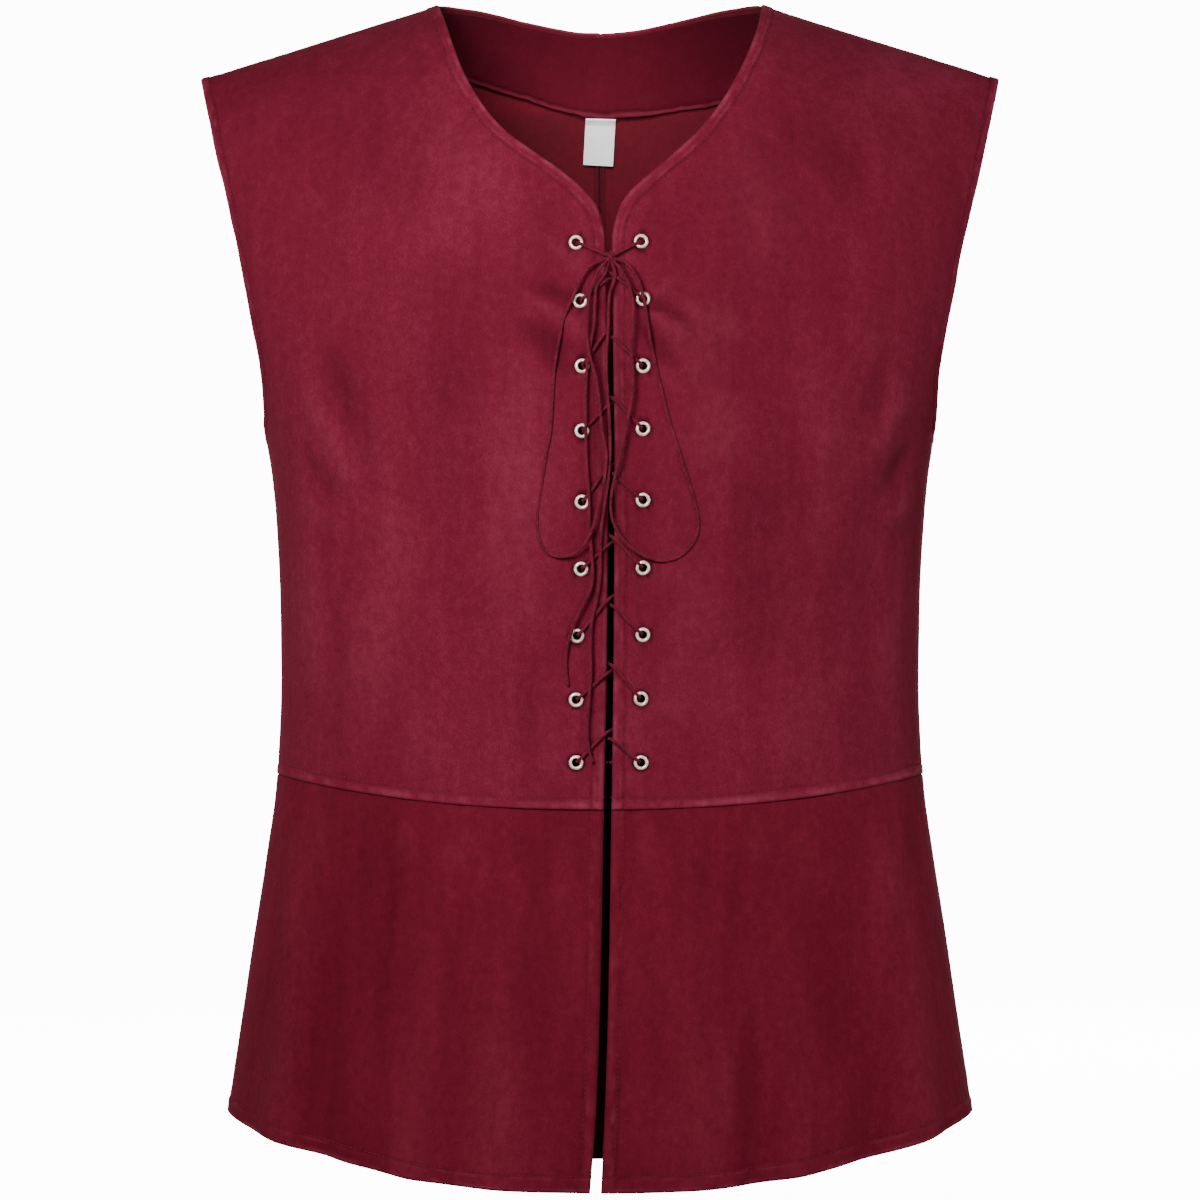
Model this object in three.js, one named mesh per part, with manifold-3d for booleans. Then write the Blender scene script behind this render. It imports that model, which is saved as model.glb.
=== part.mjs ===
// A sleeveless lace-up costume vest in wine-coloured suede cloth, filled out as on a wearer.
// Millimetres. +X is the viewer's right, the front faces -Y and +Z is up. The origin is midway
// between the shoulders, where they bear the vest. "Right" and "left" are the wearer's.

import * as THREE from "three";
import { mergeVertices } from "three/addons/utils/BufferGeometryUtils.js";
import Module from "manifold-3d";

// Driving dimensions
const NECK_POINT_Z = 22;
const NECK_HALF = 97;
const SHOULDER_HALF = 239.5;
const SHOULDER_DROP = 44.4;
const SHOULDER_ROUND = { front: 170, back: 140 };
const BACK_NECK_DROP = 12.9;
const UNDERARM_DROP = 258;
const ARMHOLE_RISE = 110;
const ARMHOLE_NARROWING = 0.07;
const ROUNDNESS = 2.4;
const WAIST_SIDE_DROP = 461;
const WAIST_DIP = 19;
const HEM_SIDE_DROP = 663;
const HEM_DIP = 39.5;
const CLOTH = 1.6;
const HEM_CLOTH = 2.6;
const SEAM_GAP = 0.3;
const WAIST_LAP_LIFT = 0.9;
const FACING_CLOTH = 1.1;
const LABEL_CLOTH = 1.0;

const EYELET_BORE = 2.4;
const EYELET_BARREL = 2.9;
const EYELET_FLANGE = 4.25;
const EYELET_HOLE = 3.25;
const EYELET_SEAT = 0.38;
const EYELET_SIDES = 10;

const CORD_DIAMETER = 2.0;
const CORD_SIDES = 8;
const LACE_ON_CLOTH = 1.5;
const LACE_OVER_RIM = 2.5;
const LACE_BEHIND = -4.3;

// Half the width seen from the front, by the drop below the neck points
const OUTLINE = [
  { drop: 44.4, half: 239.5 },
  { drop: 87, half: 229.8 },
  { drop: 123, half: 221.1 },
  { drop: 159, half: 213 },
  { drop: 195, half: 206.1 },
  { drop: 231, half: 201 },
  { drop: 258, half: 200 },
  { drop: 285, half: 196.4 },
  { drop: 309, half: 194.2 },
  { drop: 357, half: 191.7 },
  { drop: 405, half: 191.1 },
  { drop: 461, half: 193.5 },
  { drop: 513, half: 200.4 },
  { drop: 561, half: 207.9 },
  { drop: 609, half: 215.1 },
  { drop: 663, half: 222.9 },
];

// How far the cloth stands before and behind the plane of the shoulders
const FULLNESS = [
  { drop: 60, front: 103, back: 75 },
  { drop: 120, front: 107, back: 103 },
  { drop: 190, front: 113, back: 114 },
  { drop: 260, front: 115, back: 112 },
  { drop: 330, front: 110, back: 101 },
  { drop: 400, front: 104, back: 93 },
  { drop: 460, front: 102, back: 92 },
  { drop: 520, front: 106, back: 100 },
  { drop: 610, front: 115, back: 113 },
  { drop: 702, front: 122, back: 120 },
];

// The neckline and then the front opening, as the edge of each front
const FRONT_EDGE = [
  { drop: 0, right: -97, left: 97 },
  { drop: 13, right: -92, left: 94.5 },
  { drop: 28, right: -87, left: 89.5 },
  { drop: 45, right: -80.5, left: 82 },
  { drop: 63, right: -70.5, left: 71.7 },
  { drop: 80, right: -57, left: 59 },
  { drop: 94, right: -39, left: 44.5 },
  { drop: 106, right: -22, left: 31 },
  { drop: 117, right: -9.5, left: 18.5 },
  { drop: 128, right: -1, left: 11 },
  { drop: 147, right: 3.2, left: 6.9 },
  { drop: 220, right: 4.1, left: 7.7 },
  { drop: 300, right: 4.7, left: 8.3 },
  { drop: 380, right: 4.3, left: 7.9 },
  { drop: 450, right: 2.9, left: 7.1 },
  { drop: 505, right: 1.8, left: 6.2 },
  { drop: 590, right: 0, left: 4.7 },
  { drop: 648, right: -2, left: 2.9 },
  { drop: 703, right: -5.8, left: 0.4 },
];

// Drops of the rows of the fronts and backs, at the middle and at the armhole and side
const FRONT_ROWS = [
  { row: 0, middle: 0, side: 44.4 },
  { row: 2, middle: 11, side: 56 },
  { row: 5, middle: 44, side: 94 },
  { row: 14, middle: 147, side: 222 },
  { row: 15, middle: 170, side: 240 },
  { row: 16, middle: 193, side: 252 },
  { row: 17, middle: 216, side: 258 },
  { row: 27, middle: 450, side: 438 },
  { row: 28, middle: 471.3, side: 452.3 },
  { row: 29, middle: 472.8, side: 453.8 },
  { row: 30, middle: 480, side: 461 },
];
const BACK_ROWS = [
  { row: 0, middle: 12.9, side: 44.4 },
  { row: 2, middle: 26, side: 56 },
  { row: 5, middle: 62, side: 94 },
  { row: 10, middle: 158, side: 224 },
  { row: 11, middle: 173, side: 239 },
  { row: 12, middle: 197, side: 252 },
  { row: 13, middle: 221, side: 258 },
  { row: 17, middle: 428, side: 424 },
  { row: 18, middle: 471.3, side: 452.3 },
  { row: 19, middle: 472.8, side: 453.8 },
  { row: 20, middle: 480, side: 461 },
];

// Soft folds of the skirt at its hem: turn is degrees from straight ahead or straight back
const FRONT_FOLDS = [
  { turn: -55, width: 7, height: 3.6 },
  { turn: -44, width: 5, height: -3.2 },
  { turn: -34, width: 4, height: -1.6 },
  { turn: -25, width: 4, height: 3.4 },
  { turn: -12, width: 4, height: 3.2 },
  { turn: -3, width: 2.5, height: -1.6 },
  { turn: 12, width: 4, height: 3 },
  { turn: 21, width: 3.5, height: -3 },
  { turn: 27, width: 3.5, height: 2.6 },
  { turn: 41, width: 5.5, height: -3.2 },
  { turn: 55, width: 7, height: 3.6 },
];
const BACK_FOLDS = [
  { turn: -61, width: 7, height: 3.8 },
  { turn: -44, width: 6, height: -3 },
  { turn: -27, width: 5, height: 4.2 },
  { turn: -9, width: 6, height: -2.6 },
  { turn: 11, width: 4.5, height: 3.4 },
  { turn: 28, width: 5.5, height: -3.4 },
  { turn: 48, width: 8, height: 4 },
];

// Lower edge of the back neck facing, from one shoulder seam to the other
const FACING_EDGE = [
  { across: -146, drop: 16 },
  { across: -118, drop: 28 },
  { across: -84, drop: 39 },
  { across: -50, drop: 50 },
  { across: 0, drop: 61.5 },
  { across: 40, drop: 59 },
  { across: 80, drop: 52 },
  { across: 118, drop: 35 },
  { across: 146, drop: 16 },
];

// Eyelet pairs from the neck down, and where the lace from each pair passes the opening
const EYELETS = [
  { right: -14, rightDrop: 148.3, left: 24, leftDrop: 147.6, passes: 0 },
  { right: -11.7, rightDrop: 182.5, left: 25.1, leftDrop: 181.4, passes: 168 },
  { right: -10.5, rightDrop: 220.5, left: 25.1, leftDrop: 220.5, passes: 201.5 },
  { right: -10.5, rightDrop: 258.4, left: 25.1, leftDrop: 257.2, passes: 241 },
  { right: -10.5, rightDrop: 299.8, left: 25.1, leftDrop: 298.7, passes: 281 },
  { right: -11.1, rightDrop: 338.9, left: 25.1, leftDrop: 338.3, passes: 322 },
  { right: -13.4, rightDrop: 378, left: 25.1, leftDrop: 377.4, passes: 358 },
  { right: -14, rightDrop: 415.4, left: 24, leftDrop: 414.8, passes: 397 },
  { right: -14, rightDrop: 452.1, left: 24, leftDrop: 452.1, passes: 436 },
];

// The bow: each strand's middle line, by its place across, its drop and its lift off the cloth
const KNOT = { across: 6, drop: 157.5, lift: 5.4, halfWide: 4.4, halfHigh: 3.5, halfDeep: 3.3 };
const LOOP_RIGHT = [
  { across: -5.8, drop: 163, lift: 5.4 },
  { across: -11.7, drop: 172, lift: 4.8 },
  { across: -16.3, drop: 181.9, lift: 4.2 },
  { across: -21, drop: 192.5, lift: 2.9 },
  { across: -23.9, drop: 206.5, lift: 1.8 },
  { across: -26.3, drop: 220, lift: 1.5 },
  { across: -27.4, drop: 234.5, lift: 1.5 },
  { across: -28.6, drop: 256.6, lift: 1.5 },
  { across: -31.5, drop: 273, lift: 1.5 },
  { across: -34.4, drop: 292.8, lift: 1.5 },
  { across: -36.2, drop: 305.7, lift: 1.5 },
  { across: -36.2, drop: 317.3, lift: 1.5 },
  { across: -33.3, drop: 326.1, lift: 1.6 },
  { across: -28.6, drop: 330.2, lift: 2.2 },
  { across: -22.2, drop: 331.6, lift: 3.4 },
  { across: -14, drop: 329, lift: 5.8 },
  { across: -7.8, drop: 322, lift: 7.2 },
  { across: -3.5, drop: 312.1, lift: 7.2 },
  { across: 0, drop: 297.5, lift: 7.2 },
  { across: 2.9, drop: 283.5, lift: 7.2 },
  { across: 3.7, drop: 272, lift: 7.2 },
  { across: 1.2, drop: 257.8, lift: 7.2 },
  { across: 0, drop: 245, lift: 7.2 },
  { across: -2.3, drop: 229, lift: 7.2 },
  { across: -6.4, drop: 212.5, lift: 7.2 },
  { across: -7.6, drop: 197, lift: 7.3 },
  { across: -7, drop: 185, lift: 7.4 },
  { across: -4.4, drop: 173.8, lift: 7.6 },
  { across: -0.4, drop: 165.6, lift: 9.4 },
];
const LOOP_LEFT = [
  { across: 15.5, drop: 161.5, lift: 5.6 },
  { across: 21.8, drop: 170.5, lift: 5.6 },
  { across: 25.3, drop: 181.9, lift: 5.2 },
  { across: 27.6, drop: 194.8, lift: 3.6 },
  { across: 29.8, drop: 208.2, lift: 2.1 },
  { across: 33.3, drop: 224, lift: 1.5 },
  { across: 36.8, drop: 239.1, lift: 1.5 },
  { across: 40.3, drop: 252.6, lift: 1.5 },
  { across: 46, drop: 270.5, lift: 1.5 },
  { across: 51.3, drop: 287, lift: 1.5 },
  { across: 54.8, drop: 298.6, lift: 1.5 },
  { across: 57.2, drop: 311.5, lift: 1.5 },
  { across: 56, drop: 319.7, lift: 1.5 },
  { across: 51.3, drop: 327.3, lift: 1.5 },
  { across: 44.3, drop: 332.3, lift: 1.5 },
  { across: 35.5, drop: 334, lift: 1.9 },
  { across: 28.5, drop: 332.2, lift: 3.6 },
  { across: 21.5, drop: 328.7, lift: 4.9 },
  { across: 15.6, drop: 323.8, lift: 6 },
  { across: 10.9, drop: 318, lift: 6.8 },
  { across: 7.4, drop: 310.3, lift: 7.2 },
  { across: 6.2, drop: 301.6, lift: 7.2 },
  { across: 7.2, drop: 291.6, lift: 7.2 },
  { across: 9.5, drop: 281.1, lift: 7.2 },
  { across: 12.3, drop: 268.3, lift: 7.2 },
  { across: 15.8, drop: 252.6, lift: 7.2 },
  { across: 18.3, drop: 237.4, lift: 7.2 },
  { across: 18.7, drop: 224, lift: 7.2 },
  { across: 18.1, drop: 209.4, lift: 7.2 },
  { across: 19.1, drop: 193, lift: 7.3 },
  { across: 18.5, drop: 181, lift: 7.4 },
  { across: 16, drop: 172.6, lift: 7.6 },
  { across: 11.7, drop: 165.2, lift: 9.4 },
];
const TAIL_RIGHT = [
  { across: 2.6, drop: 167.6, lift: 4.1 },
  { across: -1.9, drop: 174.9, lift: 4.8 },
  { across: -2.9, drop: 185, lift: 4.8 },
  { across: -3.5, drop: 196.5, lift: 4.8 },
  { across: -5.3, drop: 207, lift: 4.8 },
  { across: -7.2, drop: 218, lift: 4.8 },
  { across: -8.2, drop: 232, lift: 4.8 },
  { across: -8.3, drop: 256.6, lift: 4.8 },
  { across: -7.6, drop: 279.4, lift: 4.8 },
  { across: -6.4, drop: 295, lift: 4.8 },
  { across: -6.2, drop: 312, lift: 4.8 },
  { across: -5, drop: 328, lift: 4.8 },
  { across: -4.2, drop: 341, lift: 4.8 },
  { across: -5.5, drop: 350, lift: 4.8 },
  { across: -9, drop: 358, lift: 4.8 },
  { across: -13, drop: 366, lift: 4.8 },
  { across: -16.2, drop: 374, lift: 4.6 },
  { across: -18.6, drop: 382, lift: 3.6 },
  { across: -19.8, drop: 390.5, lift: 2.4 },
  { across: -19.6, drop: 400, lift: 1.6 },
  { across: -18.4, drop: 407.2, lift: 1.5 },
];
const TAIL_LEFT = [
  { across: 8.8, drop: 168, lift: 4.2 },
  { across: 5.6, drop: 179, lift: 4.8 },
  { across: 4.7, drop: 199.5, lift: 4.8 },
  { across: 3.6, drop: 217, lift: 4.8 },
  { across: 4.2, drop: 234.5, lift: 4.8 },
  { across: 5.4, drop: 252, lift: 4.8 },
  { across: 5.8, drop: 269.5, lift: 4.8 },
  { across: 4.7, drop: 287, lift: 4.8 },
  { across: 2.6, drop: 301.6, lift: 4.8 },
  { across: 0.6, drop: 316.2, lift: 4.8 },
  { across: 0.2, drop: 330.7, lift: 4.8 },
  { across: -0.2, drop: 344, lift: 4.8 },
  { across: -2.2, drop: 357, lift: 4.8 },
  { across: -5, drop: 370, lift: 4.8 },
  { across: -5.7, drop: 384, lift: 4.8 },
  { across: -5.4, drop: 398, lift: 4.8 },
  { across: -6.4, drop: 414.2, lift: 4.8 },
  { across: -7.5, drop: 430.5, lift: 4.8 },
  { across: -6.6, drop: 443.5, lift: 4.7 },
  { across: -4.3, drop: 452, lift: 3.8 },
];

// Colours
const WINE = new THREE.MeshStandardMaterial({ color: "#741d2e", roughness: 0.95, metalness: 0 });
const WINE_INSIDE = new THREE.MeshStandardMaterial({ color: "#5c1520", roughness: 1, metalness: 0 });
const CORD = new THREE.MeshStandardMaterial({ color: "#6b1a2a", roughness: 0.9, metalness: 0 });
const PALE_METAL = new THREE.MeshStandardMaterial({ color: "#cfc2a4", roughness: 0.32, metalness: 1 });
const LABEL_WHITE = new THREE.MeshStandardMaterial({ color: "#eeeef0", roughness: 0.8, metalness: 0 });

const wasm = await Module();
wasm.setup();

const { lerp, smoothstep, degToRad, radToDeg } = THREE.MathUtils;

// A smooth curve through one column of a table
function fromTable(rows, key, column, at) {
  const last = rows.length - 1;
  if (at <= rows[0][key]) return rows[0][column];
  if (at >= rows[last][key]) return rows[last][column];
  const slope = (i) => (rows[i + 1][column] - rows[i][column]) / (rows[i + 1][key] - rows[i][key]);
  const i = rows.findLastIndex((row) => row[key] <= at);
  const slopeAt = (k) => {
    if (k === 0) return slope(0);
    if (k === last) return slope(last - 1);
    const before = slope(k - 1);
    const after = slope(k);
    return before * after <= 0 ? 0 : (2 * before * after) / (before + after);
  };
  const length = rows[i + 1][key] - rows[i][key];
  const t = (at - rows[i][key]) / length;
  const rise = t * t * (3 - 2 * t);
  return (
    rows[i][column] * (1 - rise) +
    rows[i + 1][column] * rise +
    slopeAt(i) * length * t * (1 - t) * (1 - t) -
    slopeAt(i + 1) * length * t * t * (1 - t)
  );
}

// Straight steps between the rows of a table
function fromSteps(rows, key, column, at) {
  const i = Math.min(rows.length - 2, Math.max(0, rows.findLastIndex((row) => row[key] <= at)));
  const t = (at - rows[i][key]) / (rows[i + 1][key] - rows[i][key]);
  return lerp(rows[i][column], rows[i + 1][column], t);
}

// The form of the worn vest
const halfWidth = (drop) => fromTable(OUTLINE, "drop", "half", drop);
const waistDrop = (across) => WAIST_SIDE_DROP + WAIST_DIP * (1 - sideShare(across, 193.5) ** 2.2);
const hemDrop = (across) => HEM_SIDE_DROP + HEM_DIP * (1 - sideShare(across, 222.9) ** 2.3);
const sideShare = (across, half) => Math.min(1, Math.abs(across) / half);

function armholeShare(drop) {
  const rise = THREE.MathUtils.clamp((UNDERARM_DROP - drop) / ARMHOLE_RISE, 0, 1);
  return 1 - ARMHOLE_NARROWING * (1 - (1 - rise) ** 2);
}

function shoulderDrop(across) {
  return (SHOULDER_DROP * (Math.abs(across) - NECK_HALF)) / (SHOULDER_HALF - NECK_HALF);
}

function shoulderRounding(side, across, drop) {
  const below = THREE.MathUtils.clamp((drop - shoulderDrop(across)) / SHOULDER_ROUND[side], 0, 1);
  return (1 - (1 - below) ** 2.2) ** (2 / 3);
}

// The turn is the angle round the body, 0 at the middle and a quarter turn at the side
function turnAt(across, drop) {
  const share = sideShare(across, halfWidth(drop) / armholeShare(drop));
  return Math.sign(across) * Math.asin(share ** (ROUNDNESS / 2));
}

function acrossAt(turn, drop) {
  const half = halfWidth(drop) / armholeShare(drop);
  return Math.sign(turn) * half * Math.abs(Math.sin(turn)) ** (2 / ROUNDNESS);
}

function formPoint(side, turn, drop) {
  const across = acrossAt(turn, drop);
  const round = Math.max(0, Math.cos(turn)) ** (2 / ROUNDNESS);
  const away = fromTable(FULLNESS, "drop", side, drop) * round * shoulderRounding(side, across, drop);
  const outward = side === "front" ? -1 : 1;
  return new THREE.Vector3(across, outward * (away + SEAM_GAP / 2), NECK_POINT_Z - drop);
}

// The same form by its place across, with the way out of the cloth
function clothPlace(side, across, drop, lift) {
  const at = (a, d) => formPoint(side, turnAt(a, d), d);
  const point = at(across, drop);
  const along = at(across + 1, drop).sub(at(across - 1, drop));
  const down = at(across, drop + 1).sub(at(across, drop - 1));
  const out = new THREE.Vector3().crossVectors(along, down).normalize();
  if (side === "front") out.negate();
  if (out.y * (side === "front" ? -1 : 1) < 0) out.negate();
  return { point: point.addScaledVector(out, lift), out };
}

// A panel: four edge curves in turn and drop, filled in and laid on the form
function panelGrid({ side, columns, rows, top, bottom, inner, outer, outwards }) {
  const grid = [];
  for (let r = 0; r <= rows; r += 1) {
    const v = r / rows;
    const line = [];
    for (let c = 0; c <= columns; c += 1) {
      const u = c / columns;
      const blend = ["turn", "drop"].map((key) => {
        const sides = lerp(inner(v)[key], outer(v)[key], u);
        const ends = lerp(top(u)[key], bottom(u)[key], v);
        const cornersTop = lerp(inner(0)[key], outer(0)[key], u);
        const cornersBottom = lerp(inner(1)[key], outer(1)[key], u);
        return sides + ends - lerp(cornersTop, cornersBottom, v);
      });
      const point = formPoint(side, blend[0], blend[1]);
      const push = outwards ? outwards(blend[0], v) : 0;
      point.x += push * Math.sin(blend[0]);
      point.y += push * Math.cos(blend[0]) * (side === "front" ? -1 : 1);
      line.push(point);
    }
    grid.push(line);
  }
  return grid;
}

// The way out of the cloth at each grid point, kept in the plane of each seam
function gridNormals(grid, seams) {
  const rows = grid.length - 1;
  const columns = grid[0].length - 1;
  return grid.map((line, r) =>
    line.map((_, c) => {
      const along = grid[r][Math.min(c + 1, columns)].clone().sub(grid[r][Math.max(c - 1, 0)]);
      const down = grid[Math.min(r + 1, rows)][c].clone().sub(grid[Math.max(r - 1, 0)][c]);
      const out = along.cross(down).normalize();
      for (const seam of seams) {
        if (seam.on(r, c, rows, columns)) out[seam.flat] = 0;
      }
      return out.normalize();
    }),
  );
}

const shoulderSeam = (fromColumn) => ({ flat: "y", on: (r, c) => r === 0 && c >= fromColumn });
const sideSeam = (fromRow) => ({ flat: "y", on: (r, c, rows, columns) => c === columns && r >= fromRow });
const waistSeamBelow = { flat: "z", on: (r, c, rows) => r === rows };
const waistSeamAbove = { flat: "z", on: (r) => r === 0 };
const middleSeam = { flat: "x", on: (r, c) => c === 0 };

// A closed wall of cloth from its outer face, as thick as thickness says at each grid point
function clothWall(grid, seams, thickness) {
  const normals = gridNormals(grid, seams);
  const facesOut = normals[2][2].dot(new THREE.Vector3(grid[2][2].x, grid[2][2].y, 0)) > 0;
  const rows = grid.length;
  const columns = grid[0].length;
  const positions = [];
  grid.flat().forEach((point) => positions.push(point.x, point.y, point.z));
  grid.forEach((line, r) => {
    line.forEach((point, c) => {
      const thick = thickness(r, c) * (facesOut ? 1 : -1);
      const inside = point.clone().addScaledVector(normals[r][c], -thick);
      positions.push(inside.x, inside.y, inside.z);
    });
  });
  const faces = [];
  const quad = (a, b, c, d) => faces.push(a, b, c, a, c, d);
  const at = (r, c) => r * columns + c;
  const behind = (r, c) => rows * columns + at(r, c);
  for (let r = 0; r < rows - 1; r += 1) {
    for (let c = 0; c < columns - 1; c += 1) {
      quad(at(r, c), at(r, c + 1), at(r + 1, c + 1), at(r + 1, c));
      quad(behind(r, c), behind(r + 1, c), behind(r + 1, c + 1), behind(r, c + 1));
    }
  }
  for (let c = 0; c < columns - 1; c += 1) {
    quad(at(0, c + 1), at(0, c), behind(0, c), behind(0, c + 1));
    quad(at(rows - 1, c), at(rows - 1, c + 1), behind(rows - 1, c + 1), behind(rows - 1, c));
  }
  for (let r = 0; r < rows - 1; r += 1) {
    quad(at(r, 0), at(r + 1, 0), behind(r + 1, 0), behind(r, 0));
    quad(at(r + 1, columns - 1), at(r, columns - 1), behind(r, columns - 1), behind(r + 1, columns - 1));
  }
  if (!facesOut) faces.reverse();
  const geometry = new THREE.BufferGeometry();
  geometry.setAttribute("position", new THREE.Float32BufferAttribute(positions, 3));
  geometry.setIndex(faces);
  return geometry;
}

// Cutting one closed shape out of another
function toSolid(geometry) {
  const bare = geometry.clone();
  bare.deleteAttribute("normal");
  bare.deleteAttribute("uv");
  const merged = mergeVertices(bare, 1e-4);
  const vertProperties = new Float32Array(merged.attributes.position.array);
  const triVerts = new Uint32Array(merged.index.array);
  return new wasm.Manifold(new wasm.Mesh({ numProp: 3, vertProperties, triVerts }));
}

function cutOut(geometry, cutters) {
  let solid = toSolid(geometry);
  for (const cutter of cutters) solid = solid.subtract(toSolid(cutter));
  const mesh = solid.getMesh();
  const cut = new THREE.BufferGeometry();
  cut.setAttribute("position", new THREE.Float32BufferAttribute(Array.from(mesh.vertProperties), 3));
  cut.setIndex(Array.from(mesh.triVerts));
  return cut;
}

function piece(name, geometry, material) {
  const mesh = new THREE.Mesh(geometry, material);
  mesh.name = name;
  return mesh;
}

// A round cord through the given points, with flat ends
class CordLine extends THREE.Curve {
  constructor(points) {
    super();
    this.points = points;
  }

  getPoint(t) {
    const place = THREE.MathUtils.clamp(t, 0, 1) * (this.points.length - 1);
    const i = Math.min(Math.floor(place), this.points.length - 2);
    return this.points[i].clone().lerp(this.points[i + 1], place - i);
  }

  getUtoTmapping(u) {
    return u;
  }
}

function cordGeometry(points) {
  const section = new THREE.Shape();
  for (let i = 0; i < CORD_SIDES; i += 1) {
    const angle = (2 * Math.PI * i) / CORD_SIDES;
    const x = (CORD_DIAMETER / 2) * Math.cos(angle);
    const y = (CORD_DIAMETER / 2) * Math.sin(angle);
    if (i === 0) section.moveTo(x, y);
    else section.lineTo(x, y);
  }
  section.closePath();
  const steps = points.length - 1;
  return new THREE.ExtrudeGeometry(section, { steps, extrudePath: new CordLine(points) });
}

const placed = (row) => clothPlace("front", row.across, row.drop, row.lift).point;

// The eyelet nearest the neck is 1
const eyeletSpots = EYELETS.flatMap((row, i) => [
  { name: `eyelet_right_${i + 1}`, across: row.right, drop: row.rightDrop },
  { name: `eyelet_left_${i + 1}`, across: row.left, drop: row.leftDrop },
]);

function upright(spot, lift) {
  const { point, out } = clothPlace("front", spot.across, spot.drop, lift);
  const turn = new THREE.Quaternion().setFromUnitVectors(new THREE.Vector3(0, 1, 0), out);
  return new THREE.Matrix4().compose(point, turn, new THREE.Vector3(1, 1, 1));
}

const eyeletHole = (spot) =>
  new THREE.CylinderGeometry(EYELET_HOLE, EYELET_HOLE, 10, EYELET_SIDES).applyMatrix4(upright(spot, -1));

function eyeletGeometry(spot) {
  const rear = -CLOTH - EYELET_SEAT;
  const profile = [
    [EYELET_BORE, rear - 0.6],
    [EYELET_FLANGE - 0.15, rear - 0.4],
    [EYELET_FLANGE - 0.15, rear],
    [EYELET_BARREL, rear],
    [EYELET_BARREL, EYELET_SEAT],
    [EYELET_FLANGE, EYELET_SEAT],
    [EYELET_FLANGE - 0.5, 0.85],
    [EYELET_BORE + 0.5, 1.0],
    [EYELET_BORE, 0.6],
    [EYELET_BORE, rear - 0.6],
  ].map(([radius, along]) => new THREE.Vector2(radius, along));
  return new THREE.LatheGeometry(profile, EYELET_SIDES).applyMatrix4(upright(spot, 0));
}

// Fronts and backs
const quarter = Math.PI / 2;

function bodiceEdges(side, hand, rows) {
  const sign = hand === "left" ? 1 : -1;
  const table = side === "front" ? FRONT_ROWS : BACK_ROWS;
  const neckShare = side === "front" ? 0 : 5 / 12;
  const spot = (across, drop) => ({ turn: turnAt(across, drop), drop });
  const middleAcross = (drop) =>
    side === "front" ? fromTable(FRONT_EDGE, "drop", hand, drop) : (sign * SEAM_GAP) / 2;
  return {
    inner: (v) => {
      const drop = fromSteps(table, "row", "middle", v * rows);
      return spot(middleAcross(drop), drop);
    },
    outer: (v) => {
      const drop = fromSteps(table, "row", "side", v * rows);
      return { turn: sign * Math.asin(armholeShare(drop) ** (ROUNDNESS / 2)), drop };
    },
    top: (u) => {
      if (u < neckShare) {
        const across = lerp(SEAM_GAP / 2, NECK_HALF, u / neckShare);
        const drop = (BACK_NECK_DROP / 2) * (1 + Math.cos((Math.PI * across) / NECK_HALF));
        return spot(sign * across, drop);
      }
      const share = (u - neckShare) / (1 - neckShare);
      const across = lerp(NECK_HALF, SHOULDER_HALF, share);
      return spot(sign * across, shoulderDrop(across));
    },
    bottom: (u) => {
      const turn = lerp(turnAt(middleAcross(480), 480), sign * quarter, u);
      return { turn, drop: waistDrop(acrossAt(turn, 470)) };
    },
  };
}

function waistLap(rows, lapRows) {
  return (_, v) => (v * rows >= rows - lapRows - 0.01 ? WAIST_LAP_LIFT : 0);
}

function bodice(side, hand) {
  const columns = side === "front" ? 15 : 12;
  const rows = side === "front" ? 30 : 20;
  const edges = bodiceEdges(side, hand, rows);
  return panelGrid({ side, columns, rows, ...edges, outwards: waistLap(rows, 1) });
}

const underarmRow = { front: 17, back: 13 };

function bodiceWall(side, grid) {
  const seams = [
    shoulderSeam(side === "front" ? 0 : 5),
    sideSeam(underarmRow[side]),
    waistSeamBelow,
  ];
  if (side === "back") seams.push(middleSeam);
  return clothWall(grid, seams, () => CLOTH);
}

// Skirt panels
function skirtEdges(side, hand) {
  const sign = hand === "left" ? 1 : -1;
  const middleAcross = (drop) => fromTable(FRONT_EDGE, "drop", hand, drop);
  const from = (drop) => (side === "front" ? turnAt(middleAcross(drop), drop) : -quarter);
  const to = side === "front" ? sign * quarter : quarter;
  const topDrop = (turn) => waistDrop(acrossAt(turn, 470)) + SEAM_GAP;
  const bottomDrop = (turn) => hemDrop(acrossAt(turn, 690));
  const edge = (turnOf) => (v) => {
    const turn = turnOf(lerp(480, 702, v));
    return { turn, drop: lerp(topDrop(turn), bottomDrop(turn), v ** 0.95) };
  };
  const across = (turnDrop, dropOf) => (u) => {
    const turn = lerp(from(turnDrop), to, u);
    return { turn, drop: dropOf(turn) };
  };
  return {
    inner: edge(from),
    outer: edge(() => to),
    top: across(480, topDrop),
    bottom: across(702, bottomDrop),
  };
}

function foldsOf(rows) {
  return (turn, v) => {
    const degrees = radToDeg(turn);
    const grown = smoothstep(v, -0.15, 1.1);
    const sum = rows.reduce((total, fold) => {
      return total + fold.height * Math.exp(-(((degrees - fold.turn) / fold.width) ** 2));
    }, 0);
    return sum * grown;
  };
}

function skirt(side, hand) {
  const columns = side === "front" ? 18 : 30;
  const rows = 9;
  const folds = foldsOf(side === "front" ? FRONT_FOLDS : BACK_FOLDS);
  return panelGrid({ side, columns, rows, ...skirtEdges(side, hand), outwards: folds });
}

function skirtWall(side, grid) {
  const seams = [sideSeam(0), waistSeamAbove];
  if (side === "back") seams.push({ flat: "y", on: (r, c) => c === 0 });
  const rows = grid.length - 1;
  return clothWall(grid, seams, (r) => (r === rows ? HEM_CLOTH : CLOTH));
}

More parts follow.
